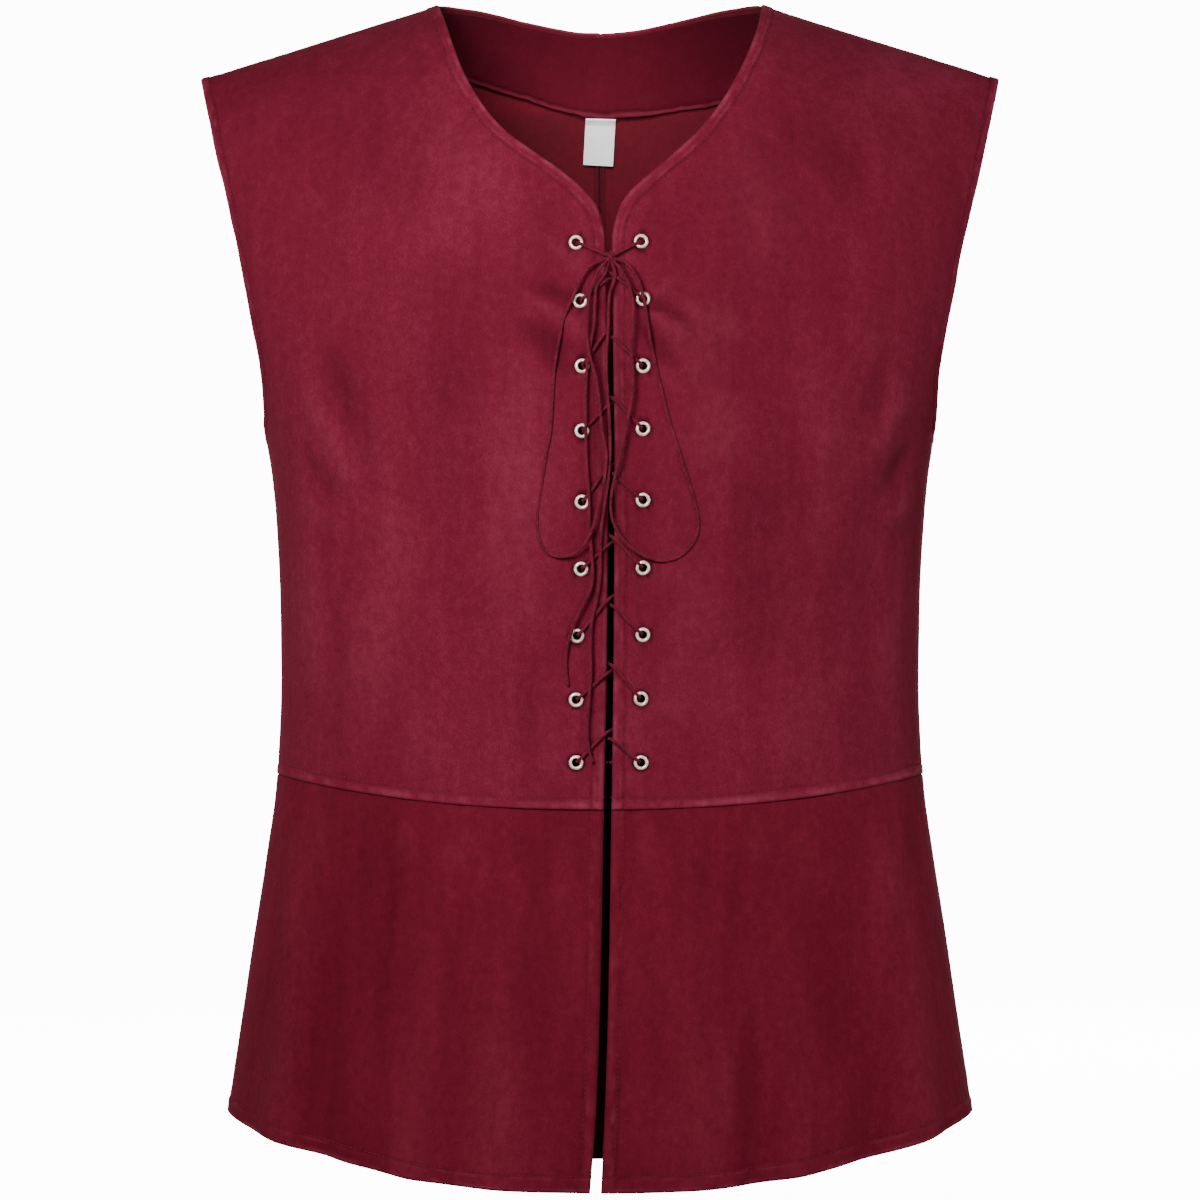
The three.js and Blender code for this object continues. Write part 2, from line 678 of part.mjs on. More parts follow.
// A point on a panel's faceted outer face
function onGrid(grid, u, v) {
  const x = u * (grid[0].length - 1);
  const y = v * (grid.length - 1);
  const c = Math.min(Math.floor(x), grid[0].length - 2);
  const r = Math.min(Math.floor(y), grid.length - 2);
  const upper = grid[r][c].clone().lerp(grid[r][c + 1], x - c);
  const lower = grid[r + 1][c].clone().lerp(grid[r + 1][c + 1], x - c);
  return upper.lerp(lower, y - r);
}

const grids = {
  front_right: bodice("front", "right"),
  front_left: bodice("front", "left"),
  back_right: bodice("back", "right"),
  back_left: bodice("back", "left"),
};

// The back neck facing lies inside the backs: columns of their grids, down to its own edge
function facingGrid() {
  const rows = 5;
  const lines = Array.from({ length: rows + 1 }, () => []);
  const columns = [7, 6, 5, 4, 3, 2, 1].map((c) => ({ hand: "back_right", c }));
  columns.push(...[1, 2, 3, 4, 5, 6, 7].map((c) => ({ hand: "back_left", c })));
  for (const { hand, c } of columns) {
    const grid = grids[hand];
    const column = grid.map((line) => line[c]);
    const depthOf = (point) => NECK_POINT_Z - point.z;
    const edgeDrop = fromTable(FACING_EDGE, "across", "drop", column[3].x);
    const firstBelow = Math.max(1, column.findIndex((point) => depthOf(point) >= edgeDrop));
    const above = column[firstBelow - 1];
    const share = (edgeDrop - depthOf(above)) / (depthOf(column[firstBelow]) - depthOf(above));
    const reach = (firstBelow - 1 + share) / (grid.length - 1);
    for (let r = 0; r <= rows; r += 1) {
      const v = lerp(0.35 / (grid.length - 1), reach, r / rows);
      lines[r].push(onGrid(grid, c / (grid[0].length - 1), v));
    }
  }
  return lines;
}

function insetGrid(grid, distance) {
  const normals = gridNormals(grid, []);
  const facesOut = normals[2][2].y > 0 ? 1 : -1;
  return grid.map((line, r) =>
    line.map((point, c) => point.clone().addScaledVector(normals[r][c], -distance * facesOut)),
  );
}

// The care label hangs from the facing's lower edge
function labelGrid() {
  const grid = [];
  for (let r = 0; r <= 5; r += 1) {
    const line = [];
    for (let c = 0; c <= 4; c += 1) {
      const across = lerp(-9, 11, c / 4) - 1.6 * (r / 5);
      const drop = 62.6 + 27.5 * (r / 5);
      line.push(clothPlace("back", across, drop, -CLOTH - 0.7).point);
    }
    grid.push(line);
  }
  return grid;
}

// Lacing: each half starts behind the lowest pair and climbs from side to side to the knot
function laceHalf(firstHand) {
  const other = { right: "left", left: "right" };
  const offset = firstHand === "right" ? -2 : 2;
  const edge = (hand, drop) => fromTable(FRONT_EDGE, "drop", hand, drop);
  const centre = (drop) => (edge("right", drop) + edge("left", drop)) / 2;
  const points = [];
  const add = (across, drop, lift) => points.push(placed({ across, drop, lift }));
  const spot = (i, hand) => ({ across: EYELETS[i][hand], drop: EYELETS[i][`${hand}Drop`] });
  const toward = (from, to, distance) => {
    const length = Math.hypot(to.across - from.across, to.drop - from.drop);
    const share = distance / length;
    return { across: lerp(from.across, to.across, share), drop: lerp(from.drop, to.drop, share) };
  };
  let hand = firstHand;
  const start = spot(8, hand);
  const middle = { across: centre(start.drop), drop: start.drop };
  const away = hand === "right" ? -0.4 : 0.4;
  add(middle.across + away, middle.drop, LACE_BEHIND);
  const before = toward(start, middle, 3.2);
  add(before.across, before.drop, LACE_BEHIND);
  for (let i = 8; i >= 0; i -= 1) {
    const hole = spot(i, hand);
    add(hole.across, hole.drop, -2.4);
    add(hole.across, hole.drop, 1.2);
    if (i === 0) break;
    const passDrop = EYELETS[i].passes + offset;
    const pass = { across: centre(passDrop), drop: passDrop };
    const rim = toward(hole, pass, 3.4);
    add(rim.across, rim.drop, LACE_OVER_RIM);
    const settled = toward(hole, pass, 8);
    add(settled.across, settled.drop, LACE_ON_CLOTH + 0.2);
    const nearEdge = edge(hand, passDrop) + (hand === "right" ? -0.2 : 0.2);
    const farEdge = edge(other[hand], passDrop) + (hand === "right" ? 0.2 : -0.2);
    add(nearEdge, passDrop + 1, 2.5);
    add(farEdge, passDrop - 1, -CLOTH - 2.5);
    const next = spot(i - 1, other[hand]);
    const under = toward(next, { across: farEdge, drop: passDrop - 1 }, 3.2);
    add(under.across, under.drop, LACE_BEHIND);
    hand = other[hand];
  }
  const last = spot(0, hand);
  const knot = { across: KNOT.across, drop: KNOT.drop };
  const rim = toward(last, knot, 3.4);
  add(rim.across, rim.drop, LACE_OVER_RIM + 0.1);
  points.push(knotSurface(placed({ across: rim.across, drop: rim.drop, lift: 4 })));
  return points;
}

const knotCentre = placed(KNOT);

// Where a strand from the knot's middle comes out of the knot
function knotSurface(toward) {
  const way = toward.clone().sub(knotCentre).normalize();
  const reach = 1 / Math.hypot(way.x / KNOT.halfWide, way.z / KNOT.halfHigh, way.y / KNOT.halfDeep);
  return knotCentre.clone().addScaledVector(way, reach + 0.55);
}

function bowStrand(rows, knotAtBothEnds) {
  const points = rows.map(placed);
  points.unshift(knotSurface(points[0]));
  if (knotAtBothEnds) points.push(knotSurface(points.at(-1)));
  return points;
}

function knotGeometry() {
  const ball = new THREE.SphereGeometry(1, 12, 8);
  ball.scale(KNOT.halfWide, KNOT.halfDeep, KNOT.halfHigh);
  return ball.translate(knotCentre.x, knotCentre.y, knotCentre.z);
}

// The vest
const vest = new THREE.Group();

for (const [name, grid] of Object.entries(grids)) {
  const side = name.startsWith("front") ? "front" : "back";
  const wall = bodiceWall(side, grid);
  const hand = name.split("_")[1];
  const holes = side === "front" ? eyeletSpots.filter((spot) => spot.name.includes(hand)) : [];
  vest.add(piece(name, holes.length ? cutOut(wall, holes.map(eyeletHole)) : wall, WINE));
}

vest.add(piece("front_skirt_right", skirtWall("front", skirt("front", "right")), WINE));
vest.add(piece("front_skirt_left", skirtWall("front", skirt("front", "left")), WINE));
vest.add(piece("back_skirt", skirtWall("back", skirt("back", "left")), WINE));

const facing = insetGrid(facingGrid(), CLOTH + 0.35);
vest.add(piece("back_neck_facing", clothWall(facing, [], () => FACING_CLOTH), WINE_INSIDE));
vest.add(piece("care_label", clothWall(labelGrid(), [], () => LABEL_CLOTH), LABEL_WHITE));

for (const spot of eyeletSpots) {
  vest.add(piece(spot.name, eyeletGeometry(spot), PALE_METAL));
}

vest.add(piece("lace_from_right", cordGeometry(laceHalf("right")), CORD));
vest.add(piece("lace_from_left", cordGeometry(laceHalf("left")), CORD));
vest.add(piece("bow_knot", knotGeometry(), CORD));
vest.add(piece("bow_loop_right", cordGeometry(bowStrand(LOOP_RIGHT, true)), CORD));
vest.add(piece("bow_loop_left", cordGeometry(bowStrand(LOOP_LEFT, true)), CORD));
vest.add(piece("lace_tail_right", cordGeometry(bowStrand(TAIL_RIGHT, false)), CORD));
vest.add(piece("lace_tail_left", cordGeometry(bowStrand(TAIL_LEFT, false)), CORD));

export default vest;
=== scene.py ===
# %% [markdown]
# # A lace-up Renaissance vest
# The vest is a worn, hollow garment of wine-coloured suede cloth: two fronts, two backs and a
# skirt sewn on at the waist, with a facing inside the back neck, nine pairs of eyelets and one
# thin lace tied in a bow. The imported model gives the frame. Every piece here is made in the same
# place and size, in metres, but with the folds, stitching and nap that only cloth has.

import bmesh
import bpy
import numpy as np
from mathutils import Matrix, Vector


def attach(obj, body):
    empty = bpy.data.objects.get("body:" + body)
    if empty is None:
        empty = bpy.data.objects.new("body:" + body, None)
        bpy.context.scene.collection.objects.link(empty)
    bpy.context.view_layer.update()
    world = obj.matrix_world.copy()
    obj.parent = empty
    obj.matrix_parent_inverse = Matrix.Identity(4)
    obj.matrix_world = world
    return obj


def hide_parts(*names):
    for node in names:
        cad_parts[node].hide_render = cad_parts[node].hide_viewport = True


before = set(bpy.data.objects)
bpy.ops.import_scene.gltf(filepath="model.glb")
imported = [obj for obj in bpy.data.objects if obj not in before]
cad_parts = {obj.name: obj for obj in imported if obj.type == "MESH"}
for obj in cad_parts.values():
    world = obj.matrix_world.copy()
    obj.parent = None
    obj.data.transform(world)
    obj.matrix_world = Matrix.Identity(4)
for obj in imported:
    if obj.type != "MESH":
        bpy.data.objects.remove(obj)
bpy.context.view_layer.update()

MM = 0.001
print("packed nodes:", len(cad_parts))

# %% [markdown]
# ## The camera
# A garment is photographed straight on, from far away, so that its left and right sides match.
# A long lens four metres off gives that calm view. A short lens nearer the chest would swell the
# lacing and shrink the shoulders, so the distance comes first and the lens follows from it.

# %% Camera
camera_data = bpy.data.cameras.new("camera")
camera_data.lens = 200.0
camera_data.sensor_width = 36.0
camera_data.clip_end = 50.0
camera = bpy.data.objects.new("camera", camera_data)
camera.location = (0.0, -4.0, -0.335)
camera.rotation_euler = (np.pi / 2, 0.0, 0.0)
bpy.context.collection.objects.link(camera)
bpy.context.scene.camera = camera
print("camera at", tuple(camera.location), "lens", camera_data.lens)

# %% [markdown]
# ## Smooth measures
# A tailor takes a few measures and joins them with a French curve. This helper does the same: it
# joins the pairs of a table with a smooth line that never swings past them. A polynomial through
# all the marks would be shorter to write, but it bulges between them.


# %% A smooth line through marks
def smooth_table(table, at):
    keys, values = np.array(table, float).T
    at = np.clip(np.asarray(at, float), keys[0], keys[-1])
    steps = np.diff(values) / np.diff(keys)
    before, after = steps[:-1], steps[1:]
    same_way = before * after > 0
    middle = np.where(same_way, 2 * before * after / np.where(same_way, before + after, 1), 0)
    slopes = np.concatenate([steps[:1], middle, steps[-1:]])
    i = np.clip(np.searchsorted(keys, at, side="right") - 1, 0, len(keys) - 2)
    length = np.diff(keys)[i]
    t = (at - keys[i]) / length
    rise = t * t * (3 - 2 * t)
    return (
        values[i] * (1 - rise)
        + values[i + 1] * rise
        + slopes[i] * length * t * (1 - t) ** 2
        - slopes[i + 1] * length * t * t * (1 - t)
    )


print("halfway between a mark of 0 and one of 4:", smooth_table([(0, 0), (10, 4), (20, 4)], 5))

# %% [markdown]
# ## The form inside the vest
# A worn vest takes its shape from the body: wide at the shoulders, flat across the chest, drawn in
# at the waist. It could be sculpted, but a few measures by height are easier to check. "Drop" is
# how far a place is below the neck points, "across" how far it is from the middle, "turn" the
# angle round the body, and all of these measures are in millimetres.

# %% Measures of the form
NECK_POINT_Z = 22.0
NECK_HALF, SHOULDER_HALF, SHOULDER_DROP = 97.0, 239.5, 44.4
SHOULDER_ROUND = {"front": 170.0, "back": 140.0}
BACK_NECK_DROP, RIDGE_ROUND = 12.9, 40.0
UNDERARM_DROP, ARMHOLE_RISE, ARMHOLE_NARROWING = 258.0, 110.0, 0.07
ROUNDNESS = 2.4
CLOTH, THICKEST = 1.6, 2.6
OUTWARD = {"front": -1, "back": 1}

OUTLINE = [
    (44.4, 239.5), (87, 229.8), (123, 221.1), (159, 213), (195, 206.1), (231, 201), (258, 200),
    (285, 196.4), (309, 194.2), (357, 191.7), (405, 191.1), (461, 193.5), (513, 200.4),
    (561, 207.9), (609, 215.1), (663, 222.9),
]
FULLNESS = {
    "front": [
        (60, 103), (120, 107), (190, 113), (260, 115), (330, 110), (400, 104), (460, 102),
        (520, 106), (610, 115), (702, 122),
    ],
    "back": [
        (60, 75), (120, 103), (190, 114), (260, 112), (330, 101), (400, 93), (460, 92),
        (520, 100), (610, 113), (702, 120),
    ],
}
FRONT_EDGE = {
    "right": [
        (0, -97), (13, -92), (28, -87), (45, -80.5), (63, -70.5), (80, -57), (94, -39), (106, -22),
        (117, -9.5), (128, -1), (147, 3.2), (220, 4.1), (300, 4.7), (380, 4.3), (450, 2.9),
        (505, 1.8), (590, 0), (648, -2), (703, -5.8),
    ],
    "left": [
        (0, 97), (13, 94.5), (28, 89.5), (45, 82), (63, 71.7), (80, 59), (94, 44.5), (106, 31),
        (117, 18.5), (128, 11), (147, 6.9), (220, 7.7), (300, 8.3), (380, 7.9), (450, 7.1),
        (505, 6.2), (590, 4.7), (648, 2.9), (703, 0.4),
    ],
}
print("edge marks a side:", {hand: len(marks) for hand, marks in FRONT_EDGE.items()})

# %% [markdown]
# ## From measures to places
# A place on the vest is found as a tailor finds it on a dummy: so far down, so far round. The cross
# section is a superellipse, fuller than an ellipse, as a chest is. A true ellipse would be shorter
# to write but leaves the chest too pointed. The armholes are cut a little inside the form.


# %% Places on the form
def armhole_share(drop):
    rise = np.clip((UNDERARM_DROP - drop) / ARMHOLE_RISE, 0, 1)
    return 1 - ARMHOLE_NARROWING * (1 - (1 - rise) ** 2)


def form_half(drop):
    return smooth_table(OUTLINE, drop) / armhole_share(drop)


def shoulder_drop(across):
    """The drop of the shoulder line, which is carried on over the neck in a round ridge."""
    away = np.abs(across)
    away = np.where(away < RIDGE_ROUND, (away**2 / RIDGE_ROUND + RIDGE_ROUND) / 2, away)
    return SHOULDER_DROP * (away - NECK_HALF) / (SHOULDER_HALF - NECK_HALF)


def turn_at(across, drop):
    share = np.minimum(1, np.abs(across) / form_half(drop))
    return np.sign(across) * np.arcsin(share ** (ROUNDNESS / 2))


def across_at(turn, drop):
    return np.sign(turn) * form_half(drop) * np.abs(np.sin(turn)) ** (2 / ROUNDNESS)


def form_point(side, turn, drop):
    across = across_at(turn, drop)
    below = np.clip((drop - shoulder_drop(across)) / SHOULDER_ROUND[side], 0, 1)
    rounding = (1 - (1 - below) ** 2.2) ** (2 / 3)
    away = smooth_table(FULLNESS[side], drop) * rounding
    away = away * np.maximum(0, np.cos(turn)) ** (2 / ROUNDNESS)
    return np.stack([across, OUTWARD[side] * away, NECK_POINT_Z - drop + 0 * across], axis=-1)


def place(side, across, drop, lift):
    """Points on the cloth, raised by their lift, and the way out of the cloth there."""
    across, drop, lift = (np.asarray(x, float) for x in (across, drop, lift))
    at = lambda a, d: form_point(side, turn_at(a, d), d)
    along = at(across + 1, drop) - at(across - 1, drop)
    down = at(across, drop + 1) - at(across, drop - 1)
    out = np.cross(along, down)
    out /= np.linalg.norm(out, axis=-1, keepdims=True)
    out *= np.sign(out[..., 1:2] * OUTWARD[side])
    return at(across, drop) + out * lift[..., None], out


print(f"the form is {2 * float(form_half(UNDERARM_DROP)):.0f} mm wide at the underarm")

# %% [markdown]
# ## The routes of the lace
# One lace does everything: it starts in the middle behind the lowest eyelets, its two halves climb
# from side to side, and what is left over is tied in a bow with two long loops and two tails. Each
# strand is given by a few places on the cloth with their lift off it, because a limp cord lies on
# what is under it. Points in free space would be simpler to write but would sink into the chest.

# %% Eyelets, bow and tails
EYELET_SPOTS = {
    "right": [
        (-14, 148.3), (-11.7, 182.5), (-10.5, 220.5), (-10.5, 258.4), (-10.5, 299.8),
        (-11.1, 338.9), (-13.4, 378), (-14, 415.4), (-14, 452.1),
    ],
    "left": [
        (24, 147.6), (25.1, 181.4), (25.1, 220.5), (25.1, 257.2), (25.1, 298.7),
        (25.1, 338.3), (25.1, 377.4), (24, 414.8), (24, 452.1),
    ],
}
LACE_PASSES = [0, 168, 201.5, 241, 281, 322, 358, 397, 436]
LACE_BEHIND, LACE_ON_CLOTH, LACE_OVER_RIM = -4.3, 1.5, 2.5
BEHIND_HOLE, IN_HOLE, OVER_RIM, PAST_RIM = 3.2, 1.15, 3.4, 8.0
CORD_DIAMETER = 2.0
KNOT_SPOT = (6.0, 157.5, 5.4)
KNOT_HALVES = (4.4, 3.3, 3.5)

LOOP_RIGHT = [
    (-5.8, 163, 5.4), (-11.7, 172, 4.8), (-16.3, 181.9, 4.2), (-21, 192.5, 2.9),
    (-23.9, 206.5, 1.8), (-26.3, 220, 1.5), (-27.4, 234.5, 1.5), (-28.6, 256.6, 1.5),
    (-31.5, 273, 1.5),
    (-34.4, 292.8, 1.5), (-36.2, 305.7, 1.5), (-36.2, 317.3, 1.5), (-33.3, 326.1, 1.6),
    (-28.6, 330.2, 2.2), (-22.2, 331.6, 3.4), (-14, 329, 5.8), (-7.8, 322, 7.2), (-3.5, 312.1, 7.2),
    (0, 297.5, 7.2), (2.9, 283.5, 7.2), (3.7, 272, 7.2), (1.2, 257.8, 7.2), (0, 245, 7.2),
    (-2.3, 229, 7.2), (-6.4, 212.5, 7.2), (-7.6, 197, 7.3), (-7, 185, 7.4), (-4.4, 173.8, 7.6),
    (-0.4, 165.6, 9.4),
]
LOOP_LEFT = [
    (15.5, 161.5, 5.6), (21.8, 170.5, 5.6), (25.3, 181.9, 5.2), (27.6, 194.8, 3.6),
    (29.8, 208.2, 2.1), (33.3, 224, 1.5), (36.8, 239.1, 1.5), (40.3, 252.6, 1.5), (46, 270.5, 1.5),
    (51.3, 287, 1.5), (54.8, 298.6, 1.5), (57.2, 311.5, 1.5), (56, 319.7, 1.5), (51.3, 327.3, 1.5),
    (44.3, 332.3, 1.5), (35.5, 334, 1.9), (28.5, 332.2, 3.6), (21.5, 328.7, 4.9), (15.6, 323.8, 6),
    (10.9, 318, 6.8), (7.4, 310.3, 7.2), (6.2, 301.6, 7.2), (7.2, 291.6, 7.2), (9.5, 281.1, 7.2),
    (12.3, 268.3, 7.2), (15.8, 252.6, 7.2), (18.3, 237.4, 7.2), (18.7, 224, 7.2),
    (18.1, 209.4, 7.2), (19.1, 193, 7.3), (18.5, 181, 7.4), (16, 172.6, 7.6), (11.7, 165.2, 9.4),
]
TAIL_RIGHT = [
    (2.6, 167.6, 4.1), (-1.9, 174.9, 4.8), (-2.9, 185, 4.8), (-3.5, 196.5, 4.8), (-5.3, 207, 4.8),
    (-7.2, 218, 4.8), (-8.2, 232, 4.8), (-8.3, 256.6, 4.8), (-7.6, 279.4, 4.8), (-6.4, 295, 4.8),
    (-6.2, 312, 4.8), (-5, 328, 4.8), (-4.2, 341, 4.8), (-5.5, 350, 4.8), (-9, 358, 4.8),
    (-13, 366, 4.8), (-16.2, 374, 4.6), (-18.6, 382, 3.6), (-19.8, 390.5, 2.4), (-19.6, 400, 1.6),
    (-18.4, 407.2, 1.5),
]
TAIL_LEFT = [
    (8.8, 168, 4.2), (5.6, 179, 4.8), (4.7, 199.5, 4.8), (3.6, 217, 4.8), (4.2, 234.5, 4.8),
    (5.4, 252, 4.8), (5.8, 269.5, 4.8), (4.7, 287, 4.8), (2.6, 301.6, 4.8), (0.6, 316.2, 4.8),
    (0.2, 330.7, 4.8), (-0.2, 344, 4.8), (-2.2, 357, 4.8), (-5, 370, 4.8), (-5.7, 384, 4.8),
    (-5.4, 398, 4.8), (-6.4, 414.2, 4.8), (-7.5, 430.5, 4.8), (-6.6, 443.5, 4.7), (-4.3, 452, 3.8),
]
print("eyelets a side:", len(EYELET_SPOTS["right"]))

# %% [markdown]
# ## Lacing up the front
# A laced half comes up through an eyelet, crosses the opening, dips behind the other front and
# comes up through its eyelet, again and again up to the knot. Typing all its places would repeat
# nine times what one rule says, so the route is worked out from the eyelets and from the heights
# at which the two halves cross.


# %% The laced halves and the strands of the bow
def lace_half(first):
    """Places of one laced half, from behind the lowest eyelet up to the knot."""
    other = {"right": "left", "left": "right"}
    outer = {"right": -0.2, "left": 0.2}
    sign = -1 if first == "right" else 1
    edge = lambda hand, drop: float(smooth_table(FRONT_EDGE[hand], drop))
    centre = lambda drop: (edge("right", drop) + edge("left", drop)) / 2

    def toward(start, goal, distance):
        start, goal = np.array(start, float), np.array(goal, float)
        return start + (goal - start) * distance / np.hypot(*(goal - start))

    hand = first
    start = EYELET_SPOTS[hand][8]
    middle = (centre(start[1]), start[1])
    places = [(middle[0] + 0.4 * sign, middle[1], LACE_BEHIND)]
    places.append((*toward(start, middle, BEHIND_HOLE), LACE_BEHIND))
    for i in range(8, -1, -1):
        hole = EYELET_SPOTS[hand][i]
        drop = LACE_PASSES[i] + 2 * sign
        crossing = (centre(drop), drop) if i else KNOT_SPOT[:2]
        pulled = toward(hole, crossing, IN_HOLE)
        places += [(*pulled, -2.4), (*pulled, 1.2)]
        if i == 0:
            break
        out = outer[hand]
        places.append((*toward(hole, crossing, OVER_RIM), LACE_OVER_RIM))
        places.append((*toward(hole, crossing, PAST_RIM), LACE_ON_CLOTH + 0.2))
        places.append((edge(hand, drop) + out, drop + 1, 2.5))
        hand = other[hand]
        far = (edge(hand, drop) + out, drop - 1)
        places.append((*far, -CLOTH - 2.5))
        places.append((*toward(EYELET_SPOTS[hand][i - 1], far, BEHIND_HOLE), LACE_BEHIND))
    rim = toward(EYELET_SPOTS[hand][0], KNOT_SPOT[:2], OVER_RIM)
    places.append((*rim, LACE_OVER_RIM + 0.1))
    return places


knot_centre = place("front", *KNOT_SPOT)[0]


def on_knot(toward, sink):
    """Where a strand that comes from a point goes into the knot."""
    way = (toward - knot_centre) / np.linalg.norm(toward - knot_centre)
    reach = 1 / np.linalg.norm(way / np.array(KNOT_HALVES))
    return knot_centre + way * (reach + 0.55 - sink)


def strand_points(places, knot_first, knot_last, sink=2.4):
    points = list(place("front", *np.array(places).T)[0])
    if knot_first:
        points.insert(0, on_knot(points[0], sink))
    if knot_last:
        points.append(on_knot(points[-1], sink))
    return np.array(points)


STRANDS = {
    "lace_from_right": strand_points(lace_half("right"), False, True),
    "lace_from_left": strand_points(lace_half("left"), False, True),
    "bow_loop_right": strand_points(LOOP_RIGHT, True, True),
    "bow_loop_left": strand_points(LOOP_LEFT, True, True),
    "lace_tail_right": strand_points(TAIL_RIGHT, True, False),
    "lace_tail_left": strand_points(TAIL_LEFT, True, False),
}
print({name: len(points) for name, points in STRANDS.items()})

# %% [markdown]
# ## A limp twisted cord
# The lace is a round cord, two millimetres thick, of two plies twisted together. A Blender curve
# with a bevel would do for its line, but then the twist could only be painted on. So a flat grid
# is rolled up into a tube along the route: its rings follow the line without turning, and the two
# plies swell it as they wind round it. Its UV map runs along and round the cord.


# %% A smooth line in equal steps
def smooth_line(points, step):
    """A smooth line through the points, cut into equal steps."""
    points = np.vstack([2 * points[0] - points[1], points, 2 * points[-1] - points[-2]])
    fine = []
    for a, b, c, d in zip(points, points[1:], points[2:], points[3:]):
        pairs = [(a, b), (b, c), (c, d)]
        t0, t1, t2, t3 = np.cumsum([0.0] + [np.sqrt(np.linalg.norm(y - x)) for x, y in pairs])
        t = np.linspace(t1, t2, 24, endpoint=False)[:, None]
        ab = (t1 - t) / (t1 - t0) * a + (t - t0) / (t1 - t0) * b
        bc = (t2 - t) / (t2 - t1) * b + (t - t1) / (t2 - t1) * c
        cd = (t3 - t) / (t3 - t2) * c + (t - t2) / (t3 - t2) * d
        abc = (t2 - t) / (t2 - t0) * ab + (t - t0) / (t2 - t0) * bc
        bcd = (t3 - t) / (t3 - t1) * bc + (t - t1) / (t3 - t1) * cd
        fine.append((t2 - t) / (t2 - t1) * abc + (t - t1) / (t2 - t1) * bcd)
    fine = np.vstack([*fine, points[-2]])
    return even_steps(fine, step)[0]


def run_along(line):
    """How far along the line each of its points is."""
    return np.concatenate([[0], np.cumsum(np.linalg.norm(np.diff(line, axis=0), axis=1))])


def even_steps(line, step):
    """The line cut into equal steps, and its length."""
    lengths = run_along(line)
    count = max(2, int(round(lengths[-1] / step)) + 1)
    at = np.linspace(0, lengths[-1], count)
    return np.stack([np.interp(at, lengths, line[:, k]) for k in range(3)], axis=1), lengths[-1]


def rings_along(line):
    """Two ways across the line at each point, carried along it without turning."""
    forward = np.gradient(line, axis=0)
    forward /= np.linalg.norm(forward, axis=1, keepdims=True)
    across = np.cross(forward[0], (0.3, 0.1, 0.9))
    first = []
    for way in forward:
        across = across - way * np.dot(across, way)
        across /= np.linalg.norm(across)
        first.append(across)
    first = np.array(first)
    return first, np.cross(forward, first)


test_bend = smooth_line(np.array([(0.0, 0, 0), (10, 0, 0), (10, 10, 0)]), 1.0)
print("a line with one corner, made smooth:", round(run_along(test_bend)[-1], 1), "mm long")


# %% New objects and unevenness
def new_object(name, bm, material=None):
    """A finished bmesh as an object at the origin, with smooth shading."""
    mesh = bpy.data.meshes.new(name)
    for face in bm.faces:
        face.smooth = True
    bm.to_mesh(mesh)
    bm.free()
    made = bpy.data.objects.new(name, mesh)
    bpy.context.collection.objects.link(made)
    if material:
        mesh.materials.append(material)
    return made


def soft_noise(x, y, seed):
    """Smooth uneven heights from -1 to 1, about one lump for each unit."""
    heights = np.random.default_rng(seed).uniform(-1, 1, (128, 128))
    x, y = np.broadcast_arrays(np.asarray(x, float), np.asarray(y, float))
    i, j = np.floor(x).astype(int), np.floor(y).astype(int)
    s, t = x - i, y - j
    s, t = s * s * (3 - 2 * s), t * t * (3 - 2 * t)
    at = lambda a, b: heights[a % 128, b % 128]
    upper = at(i, j) * (1 - s) + at(i + 1, j) * s
    lower = at(i, j + 1) * (1 - s) + at(i + 1, j + 1) * s
    return upper * (1 - t) + lower * t


print("unevenness at four places:", np.round(soft_noise([0.2, 0.9, 1.7, 2.6], 0, 1), 2))


# %% Roll a grid into a cord
PLY_SWELL, LUMP_SWELL, FIBRE_SWELL = 0.022, 0.05, 0.045


def roll_cord(name, line, seed, sides=12, pitch=3.6):
    """A grid rolled into a two-ply cord along a line in millimetres."""
    first, second = rings_along(line)
    rings = len(line) - 1
    run = np.linspace(0, even_steps(line, 1)[1], rings + 1)
    bm = bmesh.new()
    bmesh.ops.create_grid(bm, x_segments=sides, y_segments=rings, size=1.0)
    uv = bm.loops.layers.uv.new("UVMap")
    spots = {}
    wind = 2 * np.pi * run / pitch + 1.4 * soft_noise(run / 23, 0, seed)
    for vert in bm.verts:
        spots[vert] = (round((vert.co.x + 1) / 2 * sides), round((vert.co.y + 1) / 2 * rings))
    for face in bm.faces:
        for loop in face.loops:
            c, r = spots[loop.vert]
            loop[uv].uv = (run[r] * MM, c / sides)
    angle = np.linspace(0, 2 * np.pi, sides + 1)
    plies = PLY_SWELL * np.cos(2 * angle[None, :] - wind[:, None])
    lumps = LUMP_SWELL * soft_noise(run / 3.1, 5, seed + 2)[:, None]
    fibres = soft_noise(run[:, None] / 1.1, 3 * np.sin(angle)[None, :] + 7, seed + 1)
    radius = CORD_DIAMETER / 2 * (0.95 + plies + (FIBRE_SWELL * fibres + lumps))
    from_end = np.minimum(run, run[-1] - run)
    radius *= np.clip(0.25 + from_end / 0.9, 0, 1)[:, None] ** 0.5
    around = first[:, None] * np.cos(angle)[:, None] + second[:, None] * np.sin(angle)[:, None]
    points = (line[:, None] + around * radius[..., None]) * MM
    for vert, (c, r) in spots.items():
        vert.co = points[r, c]
    bmesh.ops.remove_doubles(bm, verts=bm.verts, dist=1e-7)
    open_edges = [edge for edge in bm.edges if edge.is_boundary]
    bmesh.ops.holes_fill(bm, edges=open_edges, sides=0)
    bmesh.ops.recalc_face_normals(bm, faces=bm.faces)
    return new_object(name, bm)


print("the cord's surface swells by", PLY_SWELL, LUMP_SWELL, FIBRE_SWELL, "of its radius")

# %% [markdown]
# ## The knot and the strands
# The bow is held by a small slanting wrap of the same cord. It could be a ball, as in the packed
# model, but a real knot shows its turns, so the cord is wound twice round the slanting bundle and
# its ends are tucked into it. The strands of the bow go into the wrap on all sides.


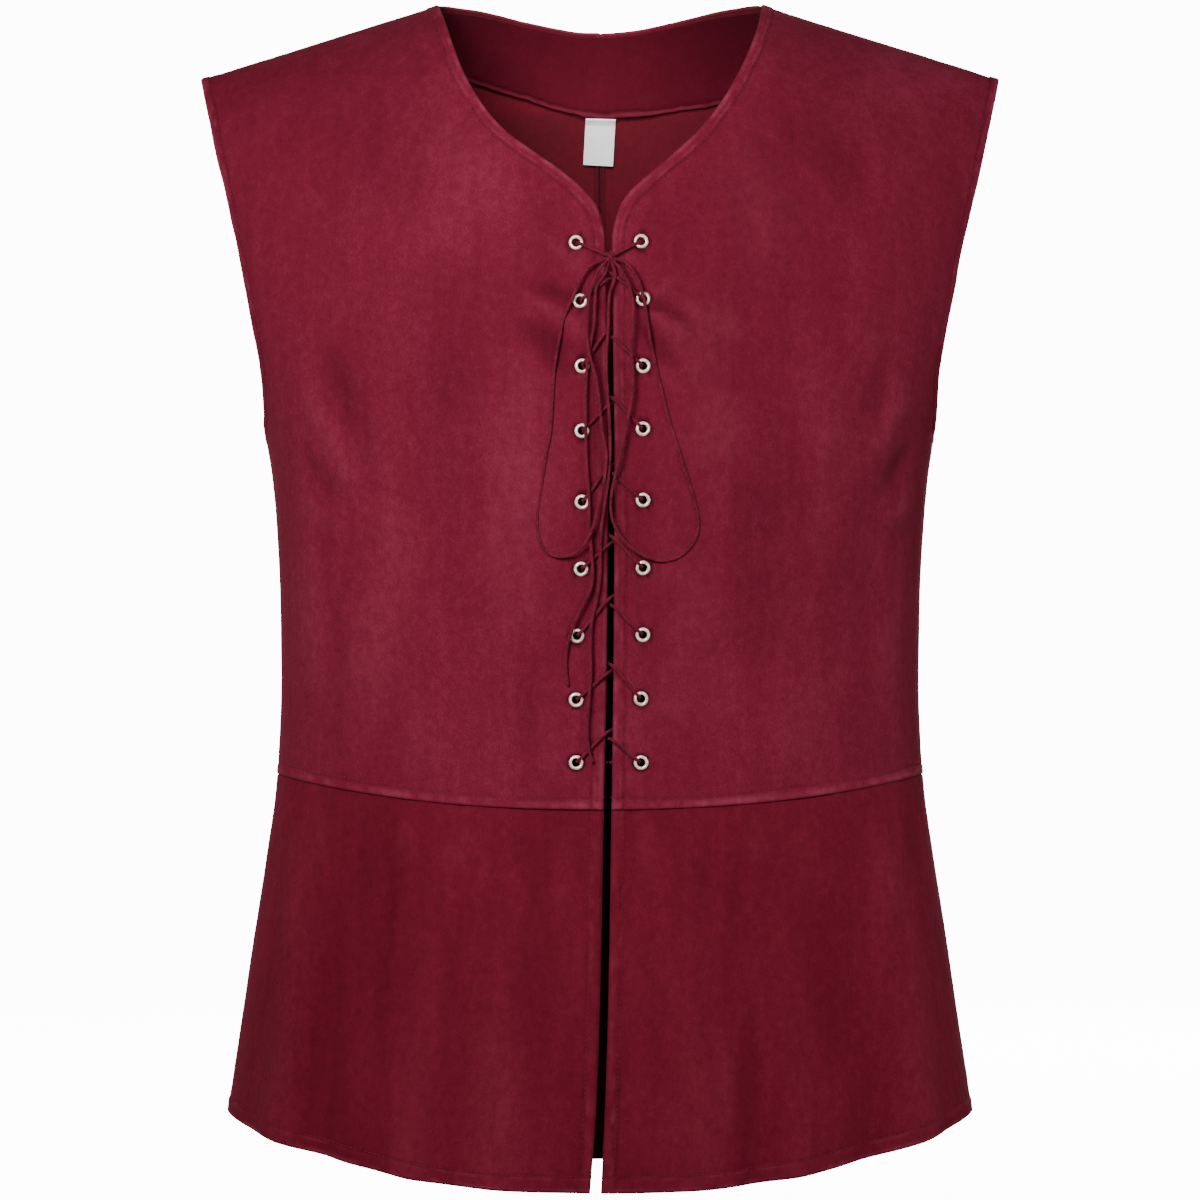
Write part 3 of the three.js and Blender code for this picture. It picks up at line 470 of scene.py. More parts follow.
# %% Wind the knot and roll every strand
def knot_line():
    t = np.linspace(0, 1, 70)
    angle = 2 * np.pi * 2.35 * t + 0.6
    spread = np.clip(np.sin(np.pi * t), 0, 1) ** 0.3
    axis = np.array([0.83, 0.0, 0.56])
    across = np.array([-0.56, 0.0, 0.83])
    deep = np.array([0.0, -1.0, 0.0])
    line = knot_centre + axis * (4.6 * (t - 0.5))[:, None]
    line = line + across * (2.5 * spread * np.cos(angle))[:, None]
    return line + deep * (2.1 * spread * np.sin(angle))[:, None]


cords, lengths_mm = {}, {}
for number, (name, points) in enumerate(STRANDS.items()):
    line = smooth_line(points, 0.7)
    cords[name] = roll_cord(f"{name}_cord", line, seed=40 + number)
    lengths_mm[name] = even_steps(line, 0.7)[1]
    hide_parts(name)
    STRANDS[name] = line
knot = roll_cord("bow_knot_wrap", even_steps(knot_line(), 0.45)[0], seed=51)
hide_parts("bow_knot")
cords["bow_knot"] = knot
for piece in cords.values():
    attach(piece, "root")
print("cord lengths in mm:", {name: round(length) for name, length in lengths_mm.items()})

# %% [markdown]
# ## What hangs free
# The two loops start and end in the knot, while the two tails hang from it and end bare. Only these
# four are free: the laced halves are held by the eyelets. The length of each is printed, so that
# whoever uses the vest knows how much lace there is, as a lace is sold by length.

for name, far_end in [
    ("bow_loop_right", "object"), ("bow_loop_left", "object"),
    ("lace_tail_right", "bare"), ("lace_tail_left", "bare"),
]:
    line = STRANDS[name] * MM
    print(name, "hangs free over", round(lengths_mm[name]), "mm")

# %% [markdown]
# ## Laying out a panel
# Every panel of the vest has four edges: for a front, the shoulder, the neckline with the opening,
# the armhole with the side, and the waist. The cloth between them is filled in from edge to edge,
# the way threads run, and laid on the form. Cutting it out of a wider sheet would leave ragged
# edges. Rows and columns are set closer near the edges, where the stitching needs them.


# %% Fill in between four edges
def closer_at_edges(count, ease):
    t = np.linspace(0, 1, count + 1)
    return t - ease * np.sin(2 * np.pi * t) / (2 * np.pi)


def fill_between(edges, u, v):
    """Turn and drop of every crossing of a panel's threads."""
    filled = []
    for k in (0, 1):
        inner, outer = edges["inner"](v)[k][:, None], edges["outer"](v)[k][:, None]
        top, bottom = edges["top"](u)[k][None, :], edges["bottom"](u)[k][None, :]
        sides = inner + (outer - inner) * u
        ends = top + (bottom - top) * v[:, None]
        first = inner[0] + (outer[0] - inner[0]) * u
        last = inner[-1] + (outer[-1] - inner[-1]) * u
        filled.append(sides + ends - (first + (last - first) * v[:, None]))
    return filled


print("eight rows, closer at the edges:", np.round(closer_at_edges(8, 0.6), 3))

# %% [markdown]
# ## The edges of the bodice
# A row of the bodice starts at the front edge or the centre back and ends at the armhole or the
# side seam. The table pairs the drop at its start with the drop at its end, so that the rows fan
# out smoothly from the low neckline to the high shoulder. Evenly spaced rows would bunch up there.
# The waist line and the hem dip towards the middle and are given by one rule with four numbers.

# %% Edges of the fronts and backs
NECK_SHARE = 5 / 12
MIDDLE_WAIST, MIDDLE_HEM = 480.0, 702.0
NEAR_WAIST, NEAR_HEM = 470.0, 690.0
WAIST_LINE = (461, 19, 193.5, 2.2)
HEM_LINE = (663, 39.5, 222.9, 2.3)
ROWS = {
    "front": [
        (0, 44.4), (11, 56), (44, 94), (147, 222), (170, 240), (193, 252), (216, 258), (450, 438),
        (480, 461),
    ],
    "back": [
        (12.9, 44.4), (26, 56), (62, 94), (150, 218), (173, 239), (197, 252), (221, 258),
        (428, 424), (480, 461),
    ],
}


def dipping(line, across):
    """A line round the body by its drop at the sides, its dip, its half width and its roundness."""
    drop, dip, half, roundness = line
    return drop + dip * (1 - np.minimum(1, np.abs(across) / half) ** roundness)


def bodice_edges(side, hand):
    sign = 1 if hand == "left" else -1
    middles, sides = np.array(ROWS[side], float).T
    at_middle = lambda v: middles[0] + (middles[-1] - middles[0]) * v
    at_side = lambda v: np.interp(at_middle(v), middles, sides)
    neck_share = 0.0 if side == "front" else NECK_SHARE

    def middle_across(drop):
        if side == "front":
            return smooth_table(FRONT_EDGE[hand], drop)
        return 0 * drop

    def inner(v):
        drop = at_middle(v)
        return turn_at(middle_across(drop), drop), drop

    def outer(v):
        drop = at_side(v)
        return sign * np.arcsin(armhole_share(drop) ** (ROUNDNESS / 2)), drop

    def top(u):
        neck = np.interp(u, [0, max(neck_share, 1e-9)], [0, NECK_HALF])
        shoulder = np.interp(u, [neck_share, 1], [NECK_HALF, SHOULDER_HALF])
        on_neck = u < neck_share
        across = np.where(on_neck, neck, shoulder)
        neck_drop = BACK_NECK_DROP / 2 * (1 + np.cos(np.pi * across / NECK_HALF))
        drop = np.where(on_neck, neck_drop, shoulder_drop(across))
        return turn_at(sign * across, drop), drop

    def bottom(u):
        waist = np.array(MIDDLE_WAIST)
        start = turn_at(middle_across(waist), waist)
        turn = start + (sign * np.pi / 2 - start) * u
        return turn, dipping(WAIST_LINE, across_at(turn, NEAR_WAIST))

    return {"inner": inner, "outer": outer, "top": top, "bottom": bottom}


print("the waist dips to", dipping(WAIST_LINE, 0), "mm in the middle")

# %% [markdown]
# ## The edges of the skirt
# A skirt panel runs from the waist seam to the hem, and from the opening to the side seam. The back
# is one piece from side to side. It could be cut in two like the bodice, but a costume maker saves
# that seam. Its grid starts at one side seam and is otherwise filled in like the front ones.


# %% Edges of the skirts
def skirt_edges(side, hand):
    sign = 1 if hand == "left" else -1
    quarter = np.pi / 2
    to = sign * quarter if side == "front" else quarter

    def start_turn(drop):
        if side == "back":
            return -quarter + 0 * drop
        return turn_at(smooth_table(FRONT_EDGE[hand], drop), drop)

    top_drop = lambda turn: dipping(WAIST_LINE, across_at(turn, NEAR_WAIST))
    bottom_drop = lambda turn: dipping(HEM_LINE, across_at(turn, NEAR_HEM))

    def down(turn, v):
        share = v**0.95
        return turn, top_drop(turn) * (1 - share) + bottom_drop(turn) * share

    def around(drop, drop_of):
        def edge(u):
            start = start_turn(np.array(drop))
            turn = start + (to - start) * u
            return turn, drop_of(turn)
        return edge

    return {
        "inner": lambda v: down(start_turn(MIDDLE_WAIST + (MIDDLE_HEM - MIDDLE_WAIST) * v), v),
        "outer": lambda v: down(to + 0 * v, v),
        "top": around(MIDDLE_WAIST, top_drop),
        "bottom": around(MIDDLE_HEM, bottom_drop),
    }


print("the hem dips to", dipping(HEM_LINE, 0), "mm in the middle")

# %% [markdown]
# ## The folds of the skirt
# Below the waist seam the cloth is wider than the form, so it falls in soft folds that grow
# towards the hem. They could be simulated, but the wanted folds are few and wide, and each one is
# simply given its place round the body, its width in degrees and its height at the hem.

# %% Folds
FOLD_FULLNESS = 1.45
FOLDS = {
    "front": [
        (-55, 7, 3.6), (-44, 5, -3.2), (-34, 4, -1.6), (-25, 4, 3.4), (-12, 4, 3.2),
        (-3, 2.5, -1.6), (12, 4, 3), (21, 3.5, -3), (27, 3.5, 2.6), (41, 5.5, -3.2), (55, 7, 3.6),
    ],
    "back": [
        (-61, 7, 3.8), (-44, 6, -3), (-27, 5, 4.2), (-9, 6, -2.6), (11, 4.5, 3.4),
        (28, 5.5, -3.4), (48, 8, 4),
    ],
}


def smooth_step(x):
    x = np.clip(x, 0, 1)
    return x * x * (3 - 2 * x)


def bump_at(distance, width):
    return np.exp(-((distance / width) ** 2))


def add_folds(side, points, turn, v):
    """Pushes a skirt out in its folds, which grow from the waist to the hem."""
    degrees = np.degrees(turn)
    waves = sum(height * bump_at(degrees - at, wide) for at, wide, height in FOLDS[side])
    push = FOLD_FULLNESS * smooth_step((v[:, None] + 0.15) / 1.25) * waves
    points[..., 0] += push * np.sin(turn)
    points[..., 1] += push * np.cos(turn) * OUTWARD[side]
    return push


print("folds:", {side: len(folds) for side, folds in FOLDS.items()})


# %% [markdown]
# ## Creases that were never ironed out
# Worn suede cloth is never quite smooth: the lacing drags at it, it breaks under the arms, and
# long soft dents run down the chest. Each crease below is listed one by one: how far round from the
# middle it is, its drop, its slant in degrees from upright, its length, its width and its height,
# in millimetres. Random noise alone would look like crumpled paper.

# %% Crease tables
CREASE_DEPTH = 1.4
CREASES = {
    "front_right": [
        (8, 232, 0, 170, 4.5, -1.3), (31, 192, -58, 60, 4.5, 1.9), (30, 178, -74, 56, 4, -1.7),
        (27, 154, -50, 44, 4, 1.3), (40, 212, -46, 60, 6, -1.7), (34, 205, -60, 48, 3.5, -1.2),
        (22, 226, -80, 34, 5, 0.45), (24, 300, -84, 30, 6, 0.4), (22, 378, -75, 36, 6, 0.45),
        (30, 452, -70, 40, 7, 0.5), (62, 300, 4, 210, 21, 1.5), (96, 260, -3, 240, 26, -1.3),
        (130, 330, 5, 190, 20, 1.1), (158, 250, -14, 130, 13, -1.2), (174, 262, -34, 84, 8, 1.7),
        (186, 282, -46, 64, 7, -1.4), (168, 236, -24, 70, 8, -1.1), (190, 306, -56, 46, 6, 1.0),
        (150, 400, 9, 120, 15, 1.2), (188, 372, -9, 130, 12, 1.1),
        (84, 120, 18, 120, 24, 0.9), (140, 96, 28, 110, 18, -0.8), (48, 415, 6, 90, 12, -0.7),
        (112, 440, -7, 74, 10, 0.7), (176, 200, 24, 70, 10, 0.7),
    ],
    "front_left": [
        (11, 226, 0, 150, 4, -0.9), (38, 174, 50, 30, 3, 1.8), (42, 190, -66, 56, 4, -2.1),
        (46, 201, -52, 66, 4.5, 2.0), (36, 210, -40, 56, 4, -1.7), (62, 194, -72, 70, 7, 1.5),
        (42, 226, 78, 36, 5.5, 0.4), (44, 262, 85, 30, 5, 0.35), (42, 344, 80, 34, 6, 0.45),
        (44, 420, 76, 40, 7, 0.45), (66, 250, -5, 180, 19, 1.3), (58, 372, 3, 160, 20, 1.1),
        (98, 300, 4, 240, 25, -1.4), (128, 262, -4, 170, 19, 1.2), (160, 330, 8, 170, 15, -1.0),
        (176, 258, 34, 84, 8, 1.6), (188, 280, 46, 60, 7, -1.4), (170, 232, 24, 68, 8, -1.0),
        (192, 304, 56, 46, 6, 1.0), (186, 380, 7, 120, 12, 1.1),
        (92, 128, -20, 116, 23, 0.9), (146, 104, -30, 96, 17, -0.8), (118, 428, 8, 84, 11, 0.8),
        (152, 440, -6, 66, 9, -0.6), (174, 214, -26, 64, 9, 0.7),
    ],
    "back_right": [
        (34, 200, 4, 230, 26, 1.3), (78, 150, 24, 150, 24, -1.2), (104, 300, -5, 210, 22, 1.3),
        (140, 250, 12, 160, 17, -1.1), (172, 262, 32, 80, 9, 1.1), (184, 290, 44, 58, 8, -0.9),
        (60, 400, -4, 130, 17, -1.0), (126, 420, 7, 110, 14, 1.0), (26, 440, 5, 70, 10, 0.8),
        (166, 400, -8, 120, 12, 0.9), (124, 110, 30, 100, 17, 0.9),
    ],
    "back_left": [
        (40, 230, -5, 210, 24, -1.2), (84, 170, -26, 140, 22, 1.2), (110, 320, 4, 200, 23, -1.2),
        (146, 262, -12, 150, 16, 1.1), (174, 256, -34, 76, 9, 1.0), (188, 286, -46, 60, 8, -0.9),
        (66, 410, 5, 120, 15, 1.1), (30, 436, -4, 76, 11, -0.7), (132, 410, -8, 116, 14, -0.9),
        (170, 396, 9, 126, 12, 0.9), (130, 104, -28, 96, 16, -0.8),
    ],
    "front_skirt_right": [
        (24, 520, 3, 70, 7, 0.7), (52, 500, -4, 50, 6, -0.6), (84, 508, 5, 62, 8, 0.7),
        (118, 498, -6, 46, 6, 0.6), (146, 516, 4, 70, 8, -0.7), (176, 500, 7, 54, 6, 0.6),
        (200, 530, 6, 90, 10, 0.8), (62, 640, -5, 80, 9, 0.6), (140, 630, 6, 90, 9, 0.7),
    ],
    "front_skirt_left": [
        (30, 506, -4, 54, 6, 0.6), (58, 524, 3, 80, 8, -0.7), (92, 500, -6, 48, 6, 0.7),
        (122, 512, 5, 66, 8, 0.6), (154, 498, -5, 44, 6, -0.6), (182, 520, -7, 74, 8, 0.7),
        (206, 508, -6, 60, 8, -0.6), (76, 636, 6, 86, 9, 0.7), (160, 640, -6, 80, 9, 0.6),
    ],
    "back_skirt": [
        (-196, 512, 6, 70, 8, 0.7), (-160, 500, -5, 48, 6, -0.6), (-128, 520, 4, 76, 8, 0.8),
        (-92, 502, -4, 52, 7, 0.6), (-56, 508, 5, 64, 7, -0.6), (-20, 498, -3, 46, 6, 0.6),
        (18, 516, 4, 72, 8, 0.7), (52, 500, -5, 50, 6, -0.6), (88, 510, 4, 66, 8, 0.7),
        (124, 498, -5, 46, 6, 0.6), (158, 518, 6, 74, 8, -0.7), (194, 504, -6, 58, 7, 0.7),
        (-110, 630, 5, 90, 10, 0.7), (70, 640, -5, 84, 9, 0.7),
    ],
}


def crease_heights(name, around, drop, seed):
    """How far the creases stand off the cloth, and how much painted shade lies in them."""
    total, crease_shade = np.zeros_like(around), np.zeros_like(around)
    for number, (a, d, slant, length, width, height) in enumerate(CREASES[name]):
        angle = np.radians(slant) * (-1 if name.endswith("left") else 1)
        right, down = around - a, drop - d
        along = down * np.cos(angle) + right * np.sin(angle)
        aside = right * np.cos(angle) - down * np.sin(angle)
        aside = aside + 0.35 * width * soft_noise(along / 31, number, seed)
        uneven = 1 + 0.35 * soft_noise(along / 17, number + 50, seed)
        fade = np.clip(1 - (2 * along / length) ** 2, 0, 1) ** 1.5
        rise = CREASE_DEPTH * height * uneven * fade * bump_at(aside, width)
        total += rise
        crease_shade += np.clip(-rise, 0, None) / width
    return total, crease_shade


print("creases:", {name: len(rows) for name, rows in CREASES.items()})


# %% [markdown]
# ## Edges, seams and the waist band
# A finished edge is turned under and topstitched: it is thicker up to the stitch line, it rolls
# over at its rim, and the thread draws a fine groove with small puckers. A seam is only a shallow
# dip. At the waist the seam allowances are pressed up under the bodice and stitched down, which
# shows as an uneven raised band. All of these are heights that depend on how far a point is from
# an edge, so the first helper measures that distance on the laid-out cloth. A painted normal map
# could fake them from the front, but not along the outline, where a rolled hem shows most.


# %% How far it is to an edge
def edge_distance(points, line):
    """Distance of each point from a line, and how far along the line its nearest place is."""
    flat = points.reshape(-1, 3)
    starts, ways = line[:-1], np.diff(line, axis=0)
    sizes = np.linalg.norm(ways, axis=1)
    keep = sizes > 1e-9
    starts, ways, sizes = starts[keep], ways[keep], sizes[keep]
    before = np.concatenate([[0], np.cumsum(sizes)[:-1]])
    best = np.full(len(flat), np.inf)
    along = np.zeros(len(flat))
    for start, way, size, run in zip(starts, ways, sizes, before):
        t = np.clip((flat - start) @ way / size**2, 0, 1)
        away = np.linalg.norm(flat - start - t[:, None] * way, axis=1)
        nearer = away < best
        best[nearer] = away[nearer]
        along[nearer] = run + t[nearer] * size
    return best.reshape(points.shape[:2]), along.reshape(points.shape[:2])


away, along = edge_distance(np.array([[(4.0, 3, 0)]]), np.array([(0.0, 0, 0), (10, 0, 0)]))
print("a test point is", away[0, 0], "mm from the line,", along[0, 0], "mm along it")


# %% Heights beside edges and seams
OPENING_EDGE, SKIRT_EDGE, ARMHOLE_EDGE, NECK_EDGE, HEM_EDGE = 6.8, 7.2, 5.6, 6.0, 9.6


# Besides its heights, a turned edge returns a paler mask on its rolled rim and beside the stitch
# line, partly wear and partly painted highlight, and painted shade in the stitch groove.
def turned_edge(away, along, seed, width, band=0.62, groove=0.42):
    wobble = 0.45 * soft_noise(along / 15, 3, seed) + 0.22 * soft_noise(along / 4.2, 9, seed)
    from_line = away - width - wobble
    raised = band * (1 - smooth_step((from_line + 0.4) / 1.3))
    line = groove * bump_at(from_line, 0.75)
    line = line * (0.8 + 0.35 * soft_noise(along / 2.9, 5, seed))
    roll = 0.75 * np.clip(1 - away / 1.2, 0, 1) ** 2
    puckers = 0.26 * soft_noise(along / 3.1, away / 7, seed + 1)
    puckers = puckers * bump_at(away - width, 4.5)
    waves = 0.45 * soft_noise(along / 13, away / 12, seed + 2) * np.exp(-away / 9)
    height = raised - line - roll + puckers + waves
    rubbed = bump_at(away - 1.4, 1.2) * (0.3 + 0.45 * soft_noise(along / 7, 2, seed))
    beside = bump_at(away - width + 1.6 - wobble, 0.9)
    rubbed = rubbed + beside * (0.08 + 0.34 * soft_noise(along / 5, 4, seed))
    return height, np.clip(rubbed, 0, 1), 0.8 * line / groove


# A seam dip returns no paler mask, and painted shade along the dip.
def seam_dip(away, along, seed, depth=0.55):
    dip = depth * bump_at(away, 1.1)
    puckers = 0.14 * soft_noise(along / 4.4, away / 9, seed) * np.exp(-away / 7)
    return puckers - dip, 0 * away, 0.7 * bump_at(away, 0.8)


# The raised waist band is painted paler, partly wear and partly painted highlight, with painted
# shade in its stitch groove and a painted shadow under its lower edge.
def waist_band(away, along, seed):
    top = 5.4 + 1.1 * soft_noise(along / 13, 2, seed) + 0.5 * soft_noise(along / 4.4, 6, seed)
    high = 0.36 + 0.22 * soft_noise(along / 12, 4, seed) + 0.14 * soft_noise(along / 4.2, 8, seed)
    raised = high * (1 - smooth_step((away - top + 1.0) / 2.0))
    line = 0.2 * bump_at(away - top - 0.9, 0.8)
    under = 0.7 * np.clip(1 - away / 1.0, 0, 1) ** 2
    puckers = 0.28 * soft_noise(along / 4.6, away / 16, seed + 1) * bump_at(away - 9, 9)
    height = raised - line - under + puckers
    wear_and_highlight_share = 0.34 + 0.36 * soft_noise(along / 21, 1, seed) + 0.3 * soft_noise(along / 4, 3, seed)
    rubbed = bump_at(away - 2.8, 1.9) * wear_and_highlight_share
    return height, np.clip(rubbed, 0, 1), 1.2 * line + 0.5 * bump_at(away, 0.6)


# Just below the waist band a narrow painted shadow is returned as painted shade.
def below_waist(away, along, seed):
    dip = 0.4 * np.exp(-away / 1.4)
    puckers = 0.34 * soft_noise(along / 5.2, away / 22, seed) * np.exp(-away / 13)
    return puckers - dip, 0 * away, 0.75 * np.exp(-away / 0.9)


rim_to_stitches = np.array([0.0, 3.0, OPENING_EDGE])
print("height of a turned edge:", np.round(turned_edge(rim_to_stitches, 0, 1, OPENING_EDGE)[0], 2))

# %% [markdown]
# ## Cutting a panel
# Each panel is a Blender grid moved onto its laid-out place and raised by the heights above. The
# Solidify modifier then gives it the thickness of the cloth, a second material on the reverse, and
# more thickness where a hem or a seam allowance doubles the cloth. Two floats stay on the mesh for
# the materials: how much paler a place is painted, partly for wear and partly as painted highlight,
# and how much painted shade it gets in creases, grooves and dips.


# %% A laid-out panel
# Scales and caps of the painted highlight on crease crests and of the painted shade in their
# valleys.
HIGHLIGHT_AT, MOST_HIGHLIGHT = 10, 0.16
SHADE_AT, MOST_SHADE = 7, 0.7


class Cloth:
    """One laid-out panel: its points and normals in millimetres, and what its edges add."""

    def __init__(self, name, points, drop, flat_edges=()):
        self.name, self.points, self.drop = name, points, drop
        along = np.linalg.norm(np.diff(points, axis=1), axis=2)
        first = np.abs(points[:, :1, 0]) if name != "back_skirt" else 0 * along[:, :1]
        self.around = np.concatenate([first, along], axis=1).cumsum(axis=1)
        if name == "back_skirt":
            self.around -= self.around[:, -1:] / 2
        down = np.gradient(points, axis=0)
        out = np.cross(np.gradient(points, axis=1), down)
        out /= np.maximum(np.linalg.norm(out, axis=2, keepdims=True), 1e-12)
        out *= np.sign((out[..., :2] * points[..., :2]).sum())
        for where, axis in flat_edges:
            out[where + (axis,)] = 0
        self.out = out / np.linalg.norm(out, axis=2, keepdims=True)
        self.height, self.rubbed, self.creased = (np.zeros_like(drop) for _ in range(3))
        self.thick = np.full_like(drop, CLOTH)
        self.edges = {}

    def crease(self, heights, crease_shade, folds=0.0):
        """Raises the creases, with painted highlight on the crests and painted shade between."""
        self.height += heights
        self.rubbed = np.clip((heights + folds) / HIGHLIGHT_AT, 0, MOST_HIGHLIGHT)
        self.creased = np.clip(-(heights + folds) / SHADE_AT + crease_shade, 0, MOST_SHADE)

    def add(self, line_name, line, profile, seed, **values):
        """Adds the heights beside one edge or seam, and keeps how far it is to that line."""
        away, along = edge_distance(self.points, line)
        height, rubbed, creased = profile(away, along, seed, **values)
        self.height += height
        # What an edge paints paler is partly wear and partly painted highlight; what it paints
        # darker is painted shade.
        self.rubbed = np.maximum(self.rubbed, rubbed)
        self.add_painted_shade(creased)
        self.edges[line_name] = away
        return away

    def add_painted_shade(self, creased):
        self.creased = np.maximum(self.creased, creased)

    def raised(self):
        return self.points + self.out * self.height[..., None]

    def area(self):
        across = np.diff(self.points, axis=1)[:-1]
        down = np.diff(self.points, axis=0)[:, :-1]
        return np.linalg.norm(np.cross(across, down), axis=2).sum()

    def flat_size(self):
        width = np.linalg.norm(np.diff(self.points, axis=1), axis=2).sum(axis=1).max()
        length = np.linalg.norm(np.diff(self.points, axis=0), axis=2).sum(axis=0).max()
        return width, length


# %% From heights to a cloth object
def cut_cloth(cloth, holes=(), thickest=THICKEST):
    """The Blender object of a laid-out panel, with its holes, its thickness and its reverse."""
    points = cloth.raised() * MM
    rows, columns = points.shape[0] - 1, points.shape[1] - 1
    bm = bmesh.new()
    bmesh.ops.create_grid(bm, x_segments=columns, y_segments=rows, size=1.0)
    uv = bm.loops.layers.uv.new("UVMap")
    # Two float attributes for the materials: a paler mask, partly wear and partly painted
    # highlight, and a painted shade mask.
    rubbed = bm.verts.layers.float.new("rubbed")
    creased = bm.verts.layers.float.new("creased")
    weights = bm.verts.layers.deform.new()
    spots = {}
    for vert in bm.verts:
        c, r = round((vert.co.x + 1) / 2 * columns), round((1 - vert.co.y) / 2 * rows)
        spots[vert] = (cloth.around[r, c] * MM, -cloth.drop[r, c] * MM)
        vert.co = points[r, c]
        vert[rubbed] = cloth.rubbed[r, c]
        vert[creased] = cloth.creased[r, c]
        vert[weights][0] = cloth.thick[r, c] / thickest
    for face in bm.faces:
        for loop in face.loops:
            loop[uv].uv = spots[loop.vert]
    for point, out in holes:
        punch(bm, Vector(point * MM), Vector(out))
    bm.normal_update()
    middle = next(iter(bm.faces))
    centre = middle.calc_center_median()
    if middle.normal.x * centre.x + middle.normal.y * centre.y < 0:
        bmesh.ops.reverse_faces(bm, faces=bm.faces)
    made = new_object(cloth.name + "_cloth", bm)
    made.vertex_groups.new(name="thickness")
    wall = made.modifiers.new("thickness of the cloth", "SOLIDIFY")
    wall.thickness = thickest * MM
    wall.offset = -1.0
    wall.vertex_group = "thickness"
    wall.material_offset = 1
    return made


print("thickness of the cloth:", CLOTH, "mm, and", THICKEST, "mm where it is double")


# %% Punch a hole for an eyelet
HOLE, FINE_CLOTH, DRAWN_CLOTH = 0.0031, 0.0068, 0.008


def punch(bm, centre, out):
    """Cuts a round hole, all in metres, and draws the cloth round it into a circle."""
    def from_axis(point):
        way = point - centre
        return way - out * way.dot(out)

    near = [e for e in bm.edges if all((v.co - centre).length < FINE_CLOTH for v in e.verts)]
    bmesh.ops.subdivide_edges(bm, edges=near, cuts=2, use_grid_fill=True)
    near = [v for v in bm.verts if (v.co - centre).length < DRAWN_CLOTH]
    inside = [v for v in near if from_axis(v.co).length < HOLE * 0.97]
    bmesh.ops.delete(bm, geom=inside, context="VERTS")
    for vert in (v for v in near if v.is_valid and v.is_boundary):
        away = from_axis(vert.co)
        if away.length < HOLE * 1.6:
            vert.co += away.normalized() * (HOLE - away.length)


print("holes of", round(2 * HOLE / MM, 1), "mm across")

# %% [markdown]
# ## The fronts and the backs
# The two fronts and the two backs are the bodice. Each is laid out, creased and edged by the same
# steps, so that the hidden sides are as finished as the ones in the photograph. Round each eyelet
# the cloth is pressed down a little, as the two halves of the eyelet squeeze it.


# %% Lay out the bodice
def lay_bodice(side, hand, columns, rows, seed):
    name = f"{side}_{hand}"
    u, v = closer_at_edges(columns, 0.72), closer_at_edges(rows, 0.6)
    if side == "back":
        u = np.sort(np.append(u[np.abs(u - NECK_SHARE) > 0.5 / columns], NECK_SHARE))
    turn, drop = fill_between(bodice_edges(side, hand), u, v)
    points = form_point(side, turn, drop)
    shoulder = u >= (0 if side == "front" else NECK_SHARE - 1e-9)
    below_arm = np.abs(np.abs(turn[:, -1]) - np.pi / 2) < 1e-6
    flat_edges = [((0, shoulder), 1), ((below_arm, -1), 1), ((-1, slice(None)), 2)]
    if side == "back":
        flat_edges.append(((slice(None), 0), 0))
    cloth = Cloth(name, points, drop, flat_edges)
    cloth.crease(*crease_heights(name, cloth.around, drop, seed))
    cloth.height += 0.25 * soft_noise(cloth.around / 33, drop / 60, seed)
    armhole = points[: np.argmax(below_arm) + 1, -1]
    if side == "front":
        cloth.add("opening", points[:, 0], turned_edge, seed + 3, width=OPENING_EDGE)
        cloth.add("shoulder", points[0], seam_dip, seed + 4)
    else:
        near_seam = cloth.add("middle", points[:, 0], seam_dip, seed + 3, depth=0.8)
        cloth.add("neck", points[0, ~shoulder], turned_edge, seed + 5, width=NECK_EDGE)
        cloth.add("shoulder", points[0, shoulder], seam_dip, seed + 4)
        cloth.thick += (THICKEST - CLOTH) * (1 - smooth_step((near_seam - 2.0) / 0.9))
        # A line of painted shade where the doubled seam allowance steps up under the cloth.
        cloth.add_painted_shade(0.7 * bump_at(near_seam - 2.7, 0.7))
    cloth.add("armhole", armhole, turned_edge, seed + 6, width=ARMHOLE_EDGE)
    cloth.add("side", points[below_arm, -1], seam_dip, seed + 7)
    cloth.add("waist", points[-1], waist_band, seed + 8)
    return cloth


def eyelet_place(hand, number):
    """The middle of an eyelet on the cloth and the way out of the cloth there."""
    across, drop = EYELET_SPOTS[hand][number]
    return place("front", across, drop, 0.0)


def press_round_eyelet(cloth, centre, seed):
    away = np.linalg.norm(cloth.points - centre, axis=2)
    wobble = 1 + 0.3 * soft_noise(cloth.around / 5, cloth.drop / 5, seed)
    cloth.height *= 1 - 0.9 * np.exp(-((away / 6.0) ** 4))
    cloth.height -= 0.3 * bump_at(away, 5.6) * wobble
    # A dark ring of painted shadow round the eyelet.
    cloth.add_painted_shade(1.7 * bump_at(away - 4.7, 1.0))


panels = {}
for seed, (side, hand) in enumerate([(s, h) for s in ("front", "back") for h in ("right", "left")]):
    columns, rows = (100, 210) if side == "front" else (84, 150)
    cloth = lay_bodice(side, hand, columns, rows, 100 + 20 * seed)
    if side == "front":
        for number in range(9):
            press_round_eyelet(cloth, eyelet_place(hand, number)[0], seed)
    panels[cloth.name] = cloth
    print(cloth.name, "flat size in mm:", [round(x) for x in cloth.flat_size()])

# %% [markdown]
# ## The three panels of the skirt
# The skirt panels are laid out like the bodice and pushed out in their folds. Their top row is
# tucked up behind the bodice, as the seam allowance is, so that no light comes through the seam at
# the waist. Joining the two meshes would close it too, but they are separate pieces of cloth.

# %% Lay out the skirts
TUCK_UP, TUCK_IN = 1.8, 1.9


